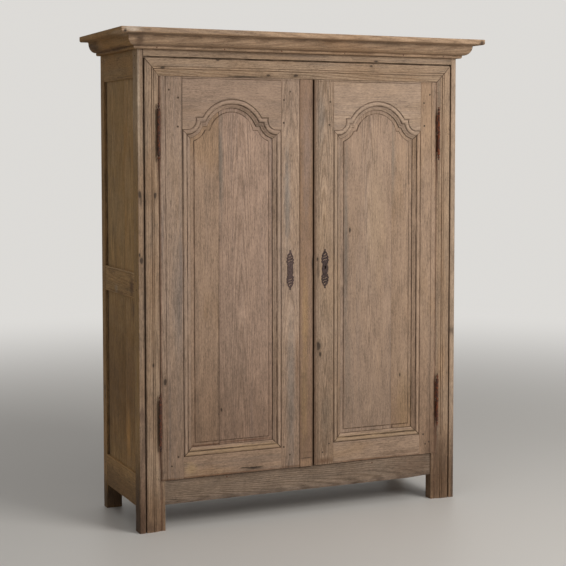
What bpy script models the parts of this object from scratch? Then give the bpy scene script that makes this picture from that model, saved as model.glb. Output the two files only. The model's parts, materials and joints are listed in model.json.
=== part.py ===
# Two-door oak cabinet: a pegged frame case with a mitred front moulding, two doors with
# arched raised panels, turned drop hinges, a lock, bolts, shelves and a moulded cornice.
# Metres, +Z up, front towards -Y, origin on the floor at the middle of the footprint.
import math

import bmesh
import bpy
from mathutils import Matrix

# Overall sizes
CASE_WIDTH = 1.406
CASE_DEPTH = 0.481
CASE_HEIGHT = 1.870
CORNICE_HEIGHT = 0.076
CORNICE_OVERHANG = 0.087
CORNICE_SOFFIT = 0.022  # depth of its nosed edge
FIT = 0.0003  # clearance where two pieces touch

# Posts
POST_WIDTH = 0.107
POST_DEPTH = 0.052
REAR_POST_WIDTH = 0.065
REAR_POST_DEPTH = 0.045
ARRIS_RADIUS = 0.005
ARRIS_STEPS = 4

# Moulding worked round the front frame: outer strip, groove, band, bead and ogee
STRIP_WIDTH = 0.0235
MOULDING_WIDTH = 0.065
RAIL_STRIP = 0.026
RAIL_MOULDING = 0.074
FRONT_GROOVE = 0.009
OGEE_DROP = 0.008
FRONT_LAYER = 0.020  # depth to which the mitred corners are cut
STOP_LAP = 0.014  # how far the frame stands in behind the doors

# Its section: places across it, from 0 at the strip to 1 at the doors, and depths.
# The post and the rail share the places, so that their unlike widths meet in the mitre.
GROOVE_END = 0.092
BAND_END = 0.495
BAND_DEPTH = 0.0006
QUIRK_START = 0.510
QUIRK_DEPTH = 0.0028
BEAD_START = 0.535
BEAD_END = 0.635
BEAD_FOOT = 0.0026
BEAD_RISE = 0.0024
BEAD_STEPS = 4
FILLET_START = 0.655
FILLET_DEPTH = 0.0046
OGEE_START = 0.670
OGEE_TOP = 0.0026
OGEE_STEPS = 6

# Front bottom rail
APRON_BOTTOM = 0.100
APRON_INSET = 0.014
APRON_WAVE = 0.005  # how far its lower edge lifts beside the right post
APRON_WAVE_LENGTH = 0.130
APRON_WAVE_STEPS = 6

# Doors
DOOR_FACE = 0.006  # door front behind the posts' front
DOOR_THICKNESS = 0.028
DOOR_BOTTOM = 0.198
DOOR_GAP = 0.0015
MEETING_GAP = 0.0075
MEETING_EDGE = 0.038  # free edge of the left door, right of the middle
LEFT_OUTER_STILE = 0.0935
LEFT_MEETING_STILE = 0.138
RIGHT_MEETING_STILE = 0.0865
RIGHT_OUTER_STILE = 0.075
BOTTOM_RAIL = 0.085
STILE_LINE = 0.024  # scratch line on the hinge stiles, from the edge
MEETING_LINE = 0.0155  # bead on the right door's meeting edge
LINE_WIDTH = 0.0015
LINE_DEPTH = 0.0012
TOP_LINE = 0.006
DOOR_EASING = 0.001  # worn corner of a stile's outer edge
CLOSING_STRIP = 0.058
CLOSING_STRIP_THICKNESS = 0.014
CLOSING_STRIP_PROUD = 0.003
CLOSING_STRIP_ROUND = 0.003
CLOSING_STRIP_STEPS = 3

# Panel frames: arch, shoulders and scallops of the moulding's outer line
DOOR_MOULDING = 0.035
ARCH_TO_TOP = 0.0825  # door top to the crown of the moulding
ARCH_RISE = 0.0715  # crown above the shoulders
LEFT_SHOULDER = 0.0293  # flat of each shoulder, between scallop and arch
RIGHT_SHOULDER = 0.0225
SCALLOP_RADIUS = 0.036
SCALLOP_INSET = 0.021  # scallop centre from the moulding's outer side
SCALLOP_DROP = 0.012  # scallop centre below the shoulder
SCALLOP_STEPS = 8
ARCH_STEPS = 16
BURIED = 0.004  # overlap of a moulding with the board that carries it

# Section of that moulding: insets from its outer line, depths behind the door's face
ROLL_START = 0.0022
ROLL_END = 0.0185
ROLL_FOOT = 0.0006
ROLL_RISE = 0.0018
ROLL_STEPS = 4
ROLL_QUIRK = 0.0028  # depth of the quirk on each side of the roll
SIGHT_START = 0.021  # ogee that runs down to the panel
SIGHT_DROP = 0.009
SIGHT_STEPS = 4
MOULDING_BACK = 0.002  # its back in front of the door's back

# Door panels
PANEL_GROOVE_FRONT = 0.0125
PANEL_THICKNESS = 0.010
PANEL_GROOVE = 0.008
PANEL_PLAY = 0.001
PANEL_MARGIN = 0.017
FIELD_RISE = 0.0025
FIELD_BEVEL = 0.0015
LEFT_PANEL_JOINT = -0.055  # joint of each panel's boards, from the panel's middle
RIGHT_PANEL_JOINT = 0.071

# Joints of the frames
TENON_THICKNESS = 0.009
TENON_LENGTH = 0.035
TENON_SHOULDER = 0.010

# Sides and back
SIDE_RAIL_THICKNESS = 0.026
SIDE_RAIL_INSET = 0.001
SIDE_TOP_RAIL = 0.108
SIDE_MIDDLE_RAIL = 0.100
SIDE_MIDDLE_BOTTOM = 0.912
SIDE_BOTTOM_RAIL = 0.127
SIDE_BOTTOM = 0.099
SIDE_PANEL_INSET = 0.009
SIDE_PANEL_THICKNESS = 0.010
SIDE_GROOVE = 0.010
SIDE_LINE = 0.008  # scratch line on a side rail, from the edge at a panel
SIDE_PANEL_JOINT = 0.193  # joint between its boards, behind the front
REAR_SHADOW_GAP = 0.010  # the panel is thinned this far beside the rear post
REAR_SHADOW_DEPTH = 0.006
BACK_RAIL_THICKNESS = 0.026
BACK_INSET = 0.008
BACK_BOARDS = 5
BACK_BOARD_THICKNESS = 0.012

# Inside
FLOOR_THICKNESS = 0.018
SHELF_THICKNESS = 0.018
SHELF_FRONT = 0.062
LOWER_SHELF = 0.600
UPPER_SHELF_DROP = 0.450  # underside of the upper shelf below the case's top
CLEAT_HEIGHT = 0.030
CLEAT_THICKNESS = 0.022
ROOF_THICKNESS = 0.016

# Cornice section: a nosed edge, a flat soffit, a cove, an ovolo, a fillet and a bead
CORNICE_SEAT = 0.022  # how far the cornice bears on the case
CORNICE_EASING = 0.001
CORNICE_NOSE = 0.007
CORNICE_COVE = 0.004
OVOLO_OUT = 0.050
OVOLO_IN = 0.021
OVOLO_FOOT = 0.012  # its foot above the seat
OVOLO_STEPS = 8
CORNICE_FILLET = 0.003
CORNICE_BEAD = 0.006
CORNICE_STEPS = 4

# Drop hinges
HINGE_INSET = 0.0845  # axis from the case's side
HINGE_PROUD = 0.004  # axis in front of the posts
HINGE_ABOVE_FOOT = 0.230  # joint of the lower hinge above the door's bottom edge
HINGE_BELOW_TOP = 0.2135  # joint of the upper hinge below the door's top edge
KNUCKLE_RADIUS = 0.0075
KNUCKLE_LENGTH = 0.085
FINIAL_LENGTH = 0.0275
# Turned drop, from the knuckle outwards: shares of the knuckle's radius and of the drop's length
FINIAL_SHAPE = ((1.12, 0.04), (1.12, 0.16), (0.60, 0.26), (0.52, 0.36), (0.86, 0.56), (0.70, 0.70),
                (0.40, 0.80), (0.58, 0.90), (0.34, 0.98), (0.0, 1.0))
PIN_RADIUS = 0.004
PIN_LENGTH = 0.070
PIN_CHAMFER = 0.001
PIN_END_PLAY = 0.002
LEAF_THICKNESS = 0.0022
LEAF_DEPTH = 0.024
LEAF_END = 0.008  # leaf shorter than its knuckle, at each end
TURNED_STEPS = 16
HINGE_GAP = 0.0006

# Lock, keeper and escutcheons
LOCK_HEIGHT = 1.004
LOCK_SIZE = (0.100, 0.020, 0.110)
LOCK_WALL = 0.0025
LOCK_EDGE = 0.003  # lock case back from the door's meeting edge
LOCK_BOLT = (0.070, 0.007, 0.024)
BOLT_PLAY = 0.0006
KEEPER_WIDTH = 0.016
KEEPER_HEIGHT = 0.046
KEEPER_WALL = 0.004
KEEPER_EDGE = 0.002
KEYHOLE_INSET = 0.048  # keyhole from the right door's meeting edge
KEYHOLE_WIDTH = 0.005
KEYHOLE_HEIGHT = 0.017
ESCUTCHEON_HEIGHT = 0.161
ESCUTCHEON_WIDTH = 0.031
ESCUTCHEON_THICKNESS = 0.002
ESCUTCHEON_TIP = 0.0053  # width of its ends
ESCUTCHEON_LOBES = 5
LOBE_DEPTH = 0.0024
WINDOW_WIDTH = 0.0068
WINDOW_HEIGHT = 0.0113
WINDOW_OFFSET = 0.0435  # windows above and below the middle
LEFT_ESCUTCHEON_INSET = 0.100  # its centre from the left door's free edge
ESCUTCHEON_STEPS = 28
WINDOW_STEPS = 12

# Bolts of the left door
DOOR_BOLT = (0.012, 0.007, 0.105)
DOOR_BOLT_THROW = 0.018
DOOR_BOLT_INSET = 0.100
BOLT_PLATE = (0.026, 0.0022, 0.086)
BOLT_CLEARANCE = 0.004  # retracted bolt to the frame
BOLT_STANDOFF = 0.005  # bolt behind the door
BOLT_END = 0.006  # retracted bolt past its plate
BOLT_GUIDE = 0.012
BOLT_GUIDE_WALL = 0.003
BOLT_KNOB = 0.005
BOLT_KNOB_REACH = 0.0075

# Places that follow from the sizes
HALF = CASE_WIDTH / 2
FRONT = -(CASE_DEPTH - CORNICE_OVERHANG) / 2
BACK = FRONT + CASE_DEPTH
TOP = CASE_HEIGHT + CORNICE_HEIGHT
MOULDING_END = STRIP_WIDTH + MOULDING_WIDTH
RAIL_BOTTOM = CASE_HEIGHT - RAIL_STRIP - RAIL_MOULDING
DOOR_TOP = RAIL_BOTTOM - DOOR_GAP
DOOR_Y = FRONT + DOOR_FACE
DOOR_BACK = DOOR_Y + DOOR_THICKNESS
REBATE_BACK = DOOR_BACK + DOOR_GAP
POST_BACK = FRONT + POST_DEPTH
REAR_POST_FRONT = BACK - REAR_POST_DEPTH
APRON_TOP = DOOR_BOTTOM - DOOR_GAP
FLOOR_TOP = APRON_TOP + STOP_LAP
SIDE_BOTTOM_TOP = SIDE_BOTTOM + SIDE_BOTTOM_RAIL
SIDE_MIDDLE_TOP = SIDE_MIDDLE_BOTTOM + SIDE_MIDDLE_RAIL
SIDE_TOP_BOTTOM = CASE_HEIGHT - SIDE_TOP_RAIL
UPPER_SHELF = CASE_HEIGHT - UPPER_SHELF_DROP
SIDE_INNER = HALF - SIDE_RAIL_INSET - SIDE_RAIL_THICKNESS
PANEL_OUTER_X = HALF - SIDE_PANEL_INSET
PANEL_INNER_X = PANEL_OUTER_X - SIDE_PANEL_THICKNESS
BACK_RAIL_Y = BACK - BACK_INSET - BACK_RAIL_THICKNESS
BACK_BOARD_Y = BACK_RAIL_Y + (BACK_RAIL_THICKNESS - BACK_BOARD_THICKNESS) / 2
HINGE_X = HALF - HINGE_INSET
HINGE_Y = FRONT - HINGE_PROUD
DOOR_EDGE = HALF - MOULDING_END - DOOR_GAP
RIGHT_FREE = MEETING_EDGE + MEETING_GAP
WIDE = 0.05  # how far cutters reach past what they cut

# Finish of each kind of piece: base colour, roughness, metallic
FINISHES = {
    "front_oak": ((0.30, 0.205, 0.140), 0.78, 0.0),
    "door_oak": ((0.31, 0.212, 0.146), 0.76, 0.0),
    "side_oak": ((0.235, 0.165, 0.100), 0.80, 0.0),
    "inner_oak": ((0.21, 0.145, 0.095), 0.85, 0.0),
    "back_oak": ((0.20, 0.145, 0.100), 0.88, 0.0),
    "rusty_iron": ((0.065, 0.036, 0.026), 0.72, 0.55),
    "worn_iron": ((0.105, 0.080, 0.072), 0.60, 0.65),
}


for old in list(bpy.data.objects):
    bpy.data.objects.remove(old, do_unlink=True)

parts = bpy.data.collections.new("cabinet")
bpy.context.scene.collection.children.link(parts)


def finish(obj, name, kind, parent=None):
    """Name a finished piece and give it its own material and its parent."""
    colour, roughness, metallic = FINISHES[kind]
    material = bpy.data.materials.new(name + "_" + kind)
    material.use_nodes = True
    shader = material.node_tree.nodes["Principled BSDF"]
    shader.inputs["Base Color"].default_value = (*colour, 1.0)
    shader.inputs["Roughness"].default_value = roughness
    shader.inputs["Metallic"].default_value = metallic
    obj.data.materials.clear()
    obj.data.materials.append(material)
    obj.name = name
    obj.data.name = name
    if parent:
        obj.parent = parent
        obj.matrix_parent_inverse = Matrix.Translation(parent.location).inverted()
    return obj


def add_object(mesh):
    obj = bpy.data.objects.new("piece", mesh)
    parts.objects.link(obj)
    return obj


def from_bmesh(bm):
    bmesh.ops.recalc_face_normals(bm, faces=bm.faces)
    mesh = bpy.data.meshes.new("piece")
    bm.to_mesh(mesh)
    bm.free()
    return add_object(mesh)


def box(low, high):
    """A box between two corners, given in any order."""
    bm = bmesh.new()
    bmesh.ops.create_cube(bm, size=1.0)
    for vert in bm.verts:
        for axis in range(3):
            ends = sorted((low[axis], high[axis]))
            vert.co[axis] = ends[1] if vert.co[axis] > 0 else ends[0]
    return from_bmesh(bm)


def prism(outline, axis, low, high):
    """A flat outline, filled and extruded along one axis between two places.

    The outline's two values go to the other two world axes, in their order.
    """
    curve = bpy.data.curves.new("outline", "CURVE")
    curve.dimensions = "2D"
    curve.fill_mode = "BOTH"
    curve.extrude = 0.5
    spline = curve.splines.new("POLY")
    spline.points.add(len(outline) - 1)
    for point, (first, second) in zip(spline.points, outline):
        point.co = (first, second, 0.0, 1.0)
    spline.use_cyclic_u = True
    guide = add_object(curve)
    depsgraph = bpy.context.evaluated_depsgraph_get()
    mesh = bpy.data.meshes.new_from_object(guide.evaluated_get(depsgraph))
    bpy.data.objects.remove(guide)
    along = "XYZ".index(axis)
    first, second = [i for i in range(3) if i != along]
    bm = bmesh.new()
    bm.from_mesh(mesh)
    bpy.data.meshes.remove(mesh)
    for vert in bm.verts:
        across = vert.co.copy()
        vert.co[first] = across.x
        vert.co[second] = across.y
        vert.co[along] = max(low, high) if across.z > 0 else min(low, high)
    bmesh.ops.remove_doubles(bm, verts=bm.verts, dist=0.00001)
    return from_bmesh(bm)


def loft(rings):
    """A closed skin over rings of points, with the first and last ring filled."""
    bm = bmesh.new()
    rows = [[bm.verts.new(point) for point in ring] for ring in rings]
    for row, following in zip(rows, rows[1:]):
        for i in range(len(row)):
            j = (i + 1) % len(row)
            bm.faces.new((row[i], row[j], following[j], following[i]))
    bm.faces.new(rows[0])
    bm.faces.new(rows[-1])
    return from_bmesh(bm)


def turned(profile, x, y, z):
    """A profile of (radius, height) turned about an upright axis at x, y."""
    mesh = bpy.data.meshes.new("profile")
    points = [(radius, 0.0, height) for radius, height in profile]
    mesh.from_pydata(points, [(i, i + 1) for i in range(len(points) - 1)], [])
    obj = add_object(mesh)
    screw = obj.modifiers.new("turn", "SCREW")
    screw.steps = TURNED_STEPS
    screw.render_steps = TURNED_STEPS
    screw.use_merge_vertices = True
    screw.merge_threshold = 0.00005
    bake(obj)
    obj.data.transform(Matrix.Translation((x, y, z)))
    bm = bmesh.new()
    bm.from_mesh(obj.data)
    bmesh.ops.recalc_face_normals(bm, faces=bm.faces)
    bm.to_mesh(obj.data)
    bm.free()
    obj.data.shade_smooth()
    obj.data.set_sharp_from_angle(angle=math.radians(35))
    return obj


def bake(obj):
    """Replace an object's mesh with what its modifiers make."""
    depsgraph = bpy.context.evaluated_depsgraph_get()
    mesh = bpy.data.meshes.new_from_object(obj.evaluated_get(depsgraph))
    obj.modifiers.clear()
    obj.data = mesh


def combine(obj, tool, operation):
    boolean = obj.modifiers.new(operation, "BOOLEAN")
    boolean.operation = operation
    boolean.object = tool
    bake(obj)
    bpy.data.objects.remove(tool)
    bm = bmesh.new()
    bm.from_mesh(obj.data)
    bmesh.ops.remove_doubles(bm, verts=bm.verts, dist=0.00001)
    bmesh.ops.triangulate(bm, faces=bm.faces)
    bm.to_mesh(obj.data)
    bm.free()
    return obj


def cut(obj, *tools):
    for tool in tools:
        combine(obj, tool, "DIFFERENCE")
    return obj


def join(obj, *tools):
    for tool in tools:
        combine(obj, tool, "UNION")
    return obj


def grown(low, high, gap):
    """The corners of a box with a clearance all round."""
    return ([min(a, b) - gap for a, b in zip(low, high)],
            [max(a, b) + gap for a, b in zip(low, high)])


def tenon(rail, post, low, high):
    """A tenon on the rail between two corners, and its mortise in the post."""
    join(rail, box(low, high))
    cut(post, box(*grown(low, high, FIT)))


def arc(centre, radius, start, end, steps):
    """Points on a circle between two angles, in degrees."""
    points = []
    for i in range(steps + 1):
        angle = math.radians(start + (end - start) * i / steps)
        points.append((centre[0] + radius * math.cos(angle),
                       centre[1] + radius * math.sin(angle)))
    return points


def front_moulding():
    """Section of the front frame's moulding: place across it (0 to 1) and depth."""
    section = [(0.0, 0.0), (0.0, FRONT_GROOVE), (GROOVE_END, FRONT_GROOVE), (GROOVE_END, BAND_DEPTH),
               (BAND_END, BAND_DEPTH), (QUIRK_START, QUIRK_DEPTH), (BEAD_START, QUIRK_DEPTH)]
    for i in range(BEAD_STEPS + 1):
        turn = math.pi * i / BEAD_STEPS
        place = BEAD_START + (BEAD_END - BEAD_START) * (1 - math.cos(turn)) / 2
        section.append((place, BEAD_FOOT - BEAD_RISE * math.sin(turn)))
    section.append((FILLET_START, FILLET_DEPTH))
    section += ogee(OGEE_START, 1.0, OGEE_TOP, OGEE_DROP, OGEE_STEPS)
    return section


def ogee(start, end, top, foot, steps):
    """An S-shaped stretch of a section, from one place and depth to another."""
    points = []
    for i in range(steps + 1):
        t = i / steps
        points.append((start + (end - start) * t, top + (foot - top) * (1 - math.cos(math.pi * t)) / 2))
    return points


def front_post(side):
    """Front post, from the worn outer corner to the door's rebate."""
    outline = [(0.0, POST_DEPTH)]
    outline += arc((ARRIS_RADIUS, ARRIS_RADIUS), ARRIS_RADIUS, 180, 270, ARRIS_STEPS)
    outline += [(STRIP_WIDTH + place * MOULDING_WIDTH, depth) for place, depth in front_moulding()]
    outline += [(POST_WIDTH, OGEE_DROP), (POST_WIDTH, POST_DEPTH)]
    post = prism([(side * (HALF - inset), FRONT + depth) for inset, depth in outline],
                 "Z", 0.0, CASE_HEIGHT)
    inner = side * (HALF - POST_WIDTH)
    cut(post, box((side * (HALF - MOULDING_END), FRONT - WIDE, DOOR_BOTTOM - DOOR_GAP),
                  (inner - side * WIDE, REBATE_BACK, RAIL_BOTTOM + FIT)))
    rail_side = [(STRIP_WIDTH, CASE_HEIGHT + WIDE), (STRIP_WIDTH, CASE_HEIGHT - RAIL_STRIP),
                 (MOULDING_END, RAIL_BOTTOM), (POST_WIDTH + WIDE, RAIL_BOTTOM),
                 (POST_WIDTH + WIDE, CASE_HEIGHT + WIDE)]
    cut(post, prism([(side * (HALF - inset), z) for inset, z in rail_side],
                    "Y", FRONT - WIDE, FRONT + FRONT_LAYER))
    cut(post, panel_groove_box(side, POST_BACK - SIDE_GROOVE, POST_BACK + WIDE))
    return post


def panel_groove_box(side, start, end):
    """Cutter for the side panels' groove between two depths."""
    return box((side * (PANEL_INNER_X - FIT), start, SIDE_BOTTOM_TOP - SIDE_GROOVE),
               (side * (PANEL_OUTER_X + FIT), end, SIDE_TOP_BOTTOM + SIDE_GROOVE))


def rear_post(side):
    post = box((side * HALF, REAR_POST_FRONT, 0.0),
               (side * (HALF - REAR_POST_WIDTH), BACK, CASE_HEIGHT))
    cut(post, panel_groove_box(side, REAR_POST_FRONT - WIDE, REAR_POST_FRONT + SIDE_GROOVE))
    inner = HALF - REAR_POST_WIDTH
    cut(post, box((side * (inner - WIDE), BACK_BOARD_Y - FIT, SIDE_BOTTOM_TOP - SIDE_GROOVE),
                  (side * (inner + SIDE_GROOVE), BACK_BOARD_Y + BACK_BOARD_THICKNESS + FIT,
                   SIDE_TOP_BOTTOM + SIDE_GROOVE)))
    return post


def front_top_rail():
    """Top rail: its moulding runs over the posts to mitres, its body stands between them."""
    reach = HALF - STRIP_WIDTH - FIT
    profile = [(FRONT, CASE_HEIGHT)]
    profile += [(FRONT + depth, CASE_HEIGHT - RAIL_STRIP - place * RAIL_MOULDING)
                for place, depth in front_moulding()]
    layer = profile + [(FRONT + FRONT_LAYER - FIT, RAIL_BOTTOM),
                       (FRONT + FRONT_LAYER - FIT, CASE_HEIGHT)]
    rail = prism(layer, "X", -reach, reach)
    for side in (-1, 1):
        post_side = [(STRIP_WIDTH - WIDE, RAIL_BOTTOM - WIDE), (MOULDING_END + FIT, RAIL_BOTTOM - WIDE),
                     (MOULDING_END + FIT, RAIL_BOTTOM), (STRIP_WIDTH + FIT, CASE_HEIGHT - RAIL_STRIP),
                     (STRIP_WIDTH + FIT, CASE_HEIGHT + WIDE), (STRIP_WIDTH - WIDE, CASE_HEIGHT + WIDE)]
        cut(rail, prism([(side * (HALF - inset), z) for inset, z in post_side],
                        "Y", FRONT - WIDE, FRONT + FRONT_LAYER + WIDE))
    body = HALF - POST_WIDTH - FIT
    section = [(FRONT + FRONT_GROOVE + BURIED, CASE_HEIGHT),
               (FRONT + FRONT_GROOVE + BURIED, RAIL_BOTTOM + BURIED),
               (REBATE_BACK, RAIL_BOTTOM + BURIED), (REBATE_BACK, RAIL_BOTTOM - STOP_LAP),
               (POST_BACK - FIT, RAIL_BOTTOM - STOP_LAP), (POST_BACK - FIT, CASE_HEIGHT)]
    return join(rail, prism(section, "X", -body, body))


def apron():
    """Front bottom rail, its lower edge lifting a little beside the right post."""
    body = HALF - POST_WIDTH - FIT
    outline = [(-body, APRON_BOTTOM)]
    outline += ogee(body - APRON_WAVE_LENGTH, body, APRON_BOTTOM, APRON_BOTTOM + APRON_WAVE,
                    APRON_WAVE_STEPS)
    outline += [(body, APRON_TOP), (-body, APRON_TOP)]
    rail = prism(outline, "Y", FRONT + APRON_INSET, POST_BACK - FIT)
    return join(rail, box((-body, REBATE_BACK, APRON_TOP - WIDE), (body, POST_BACK - FIT, FLOOR_TOP)))


def side_rail(side, low, high, groove_low, groove_high):
    """Side rail with a scratch line and a panel groove along the edges that hold panels."""
    start, end = POST_BACK + FIT, REAR_POST_FRONT - FIT
    outer = HALF - SIDE_RAIL_INSET
    rail = box((side * outer, start, low), (side * SIDE_INNER, end, high))
    if groove_low:
        cut(rail, box((side * (PANEL_INNER_X - FIT), start - WIDE, low - WIDE),
                      (side * (PANEL_OUTER_X + FIT), end + WIDE, low + SIDE_GROOVE)))
        cut(rail, box((side * (outer + WIDE), start - WIDE, low + SIDE_LINE),
                      (side * (outer - LINE_DEPTH), end + WIDE, low + SIDE_LINE + LINE_WIDTH)))
    if groove_high:
        cut(rail, box((side * (PANEL_INNER_X - FIT), start - WIDE, high - SIDE_GROOVE),
                      (side * (PANEL_OUTER_X + FIT), end + WIDE, high + WIDE)))
        cut(rail, box((side * (outer + WIDE), start - WIDE, high - SIDE_LINE - LINE_WIDTH),
                      (side * (outer - LINE_DEPTH), end + WIDE, high - SIDE_LINE)))
    return rail


def side_tenons(rail, side, front, rear, low, high):
    """Tenons of a side rail into its front and rear posts."""
    outer = side * (SIDE_INNER + TENON_SHOULDER / 2 + TENON_THICKNESS / 2)
    inner = side * (SIDE_INNER + TENON_SHOULDER / 2 - TENON_THICKNESS / 2)
    bottom, top = low + SIDE_GROOVE + TENON_SHOULDER, high - SIDE_GROOVE - TENON_SHOULDER
    depth = POST_DEPTH / 2
    tenon(rail, front, (inner, POST_BACK + BURIED, bottom), (outer, POST_BACK - depth, top))
    depth = REAR_POST_DEPTH / 2
    tenon(rail, rear, (inner, REAR_POST_FRONT - BURIED, bottom),
          (outer, REAR_POST_FRONT + depth, top))


def side_panel(side, low, high):
    """Panel of two upright boards, thinned beside the rear post."""
    start = POST_BACK - SIDE_GROOVE + PANEL_PLAY
    end = REAR_POST_FRONT + SIDE_GROOVE - PANEL_PLAY
    bottom, top = low - SIDE_GROOVE + PANEL_PLAY, high + SIDE_GROOVE - PANEL_PLAY
    panel = box((side * PANEL_OUTER_X, start, bottom), (side * PANEL_INNER_X, end, top))
    face = side * (PANEL_OUTER_X + WIDE)
    joint = FRONT + SIDE_PANEL_JOINT
    cut(panel, box((face, joint, low - WIDE),
                   (side * (PANEL_OUTER_X - LINE_DEPTH), joint + LINE_WIDTH, high + WIDE)))
    thinned = side * (PANEL_OUTER_X - REAR_SHADOW_DEPTH)
    return cut(panel, box((face, REAR_POST_FRONT - REAR_SHADOW_GAP, low - WIDE),
                          (thinned, REAR_POST_FRONT + WIDE, high + WIDE)))


def back_rail(low, high, groove_low, groove_high):
    inner = HALF - REAR_POST_WIDTH - FIT
    rail = box((-inner, BACK_RAIL_Y, low), (inner, BACK_RAIL_Y + BACK_RAIL_THICKNESS, high))
    front, rear = BACK_BOARD_Y - FIT, BACK_BOARD_Y + BACK_BOARD_THICKNESS + FIT
    if groove_low:
        cut(rail, box((-HALF, front, low - WIDE), (HALF, rear, low + SIDE_GROOVE)))
    if groove_high:
        cut(rail, box((-HALF, front, high - SIDE_GROOVE), (HALF, rear, high + WIDE)))
    return rail


def back_boards():
    """Upright boards, lined at their joints, held in the rear frame's grooves."""
    half = HALF - REAR_POST_WIDTH + SIDE_GROOVE - PANEL_PLAY
    bottom = SIDE_BOTTOM_TOP - SIDE_GROOVE + PANEL_PLAY
    top = SIDE_TOP_BOTTOM + SIDE_GROOVE - PANEL_PLAY
    rear = BACK_BOARD_Y + BACK_BOARD_THICKNESS
    boards = box((-half, BACK_BOARD_Y, bottom), (half, rear, top))
    for i in range(1, BACK_BOARDS):
        x = -half + 2 * half * i / BACK_BOARDS
        cut(boards, box((x - LINE_WIDTH / 2, rear - LINE_DEPTH, bottom - WIDE),
                        (x + LINE_WIDTH / 2, rear + WIDE, top + WIDE)))
    return boards


def cornice_section():
    """Cornice section: overhang and drop from the top, from the top edge to the seat."""
    nose_centre = CORNICE_OVERHANG - CORNICE_NOSE, CORNICE_SOFFIT - CORNICE_NOSE
    cove_centre = OVOLO_OUT + CORNICE_COVE, CORNICE_SOFFIT + CORNICE_COVE
    ovolo_top, ovolo_foot = CORNICE_SOFFIT + CORNICE_COVE, CORNICE_HEIGHT - OVOLO_FOOT
    section = [(CORNICE_OVERHANG - CORNICE_EASING, 0.0), (CORNICE_OVERHANG, CORNICE_EASING)]
    section += arc(nose_centre, CORNICE_NOSE, 0, 90, CORNICE_STEPS)
    section += arc(cove_centre, CORNICE_COVE, 270, 180, CORNICE_STEPS)
    for i in range(1, OVOLO_STEPS + 1):
        turn = math.pi / 2 * i / OVOLO_STEPS
        section.append((OVOLO_IN + (OVOLO_OUT - OVOLO_IN) * math.cos(turn),
                        ovolo_top + (ovolo_foot - ovolo_top) * math.sin(turn)))
    foot = OVOLO_IN - CORNICE_FILLET
    section += [(foot, ovolo_foot), (foot, ovolo_foot + CORNICE_FILLET)]
    section += arc((foot - CORNICE_BEAD, CORNICE_HEIGHT - CORNICE_BEAD), CORNICE_BEAD, -30, 90,
                   CORNICE_STEPS)
    section += [(-CORNICE_SEAT, CORNICE_HEIGHT), (-CORNICE_SEAT, 0.0)]
    return section


def cornice_height(drop):
    return TOP - drop + FIT * drop / CORNICE_HEIGHT


def cornice_front():
    """Front moulding of the cornice, mitred at both ends."""
    rings = []
    for side in (-1, 1):
        rings.append([(side * (HALF + out - FIT), FRONT - out, cornice_height(drop))
                      for out, drop in cornice_section()])
    return loft(rings)


def cornice_return(side):
    """Side moulding of the cornice, from its mitre to the back."""
    mitre = [(side * (HALF + out), FRONT - out + FIT, cornice_height(drop))
             for out, drop in cornice_section()]
    square = [(x, BACK, z) for x, y, z in mitre]
    return loft([mitre, square])


def deck(reach, front, rear, low, high):
    """A level board notched round the rear posts."""
    inner = HALF - REAR_POST_WIDTH - FIT
    notch = REAR_POST_FRONT - FIT
    outline = [(-reach, front), (reach, front), (reach, notch), (inner, notch), (inner, rear),
               (-inner, rear), (-inner, notch), (-reach, notch)]
    return prism(outline, "Z", low, high)


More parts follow.
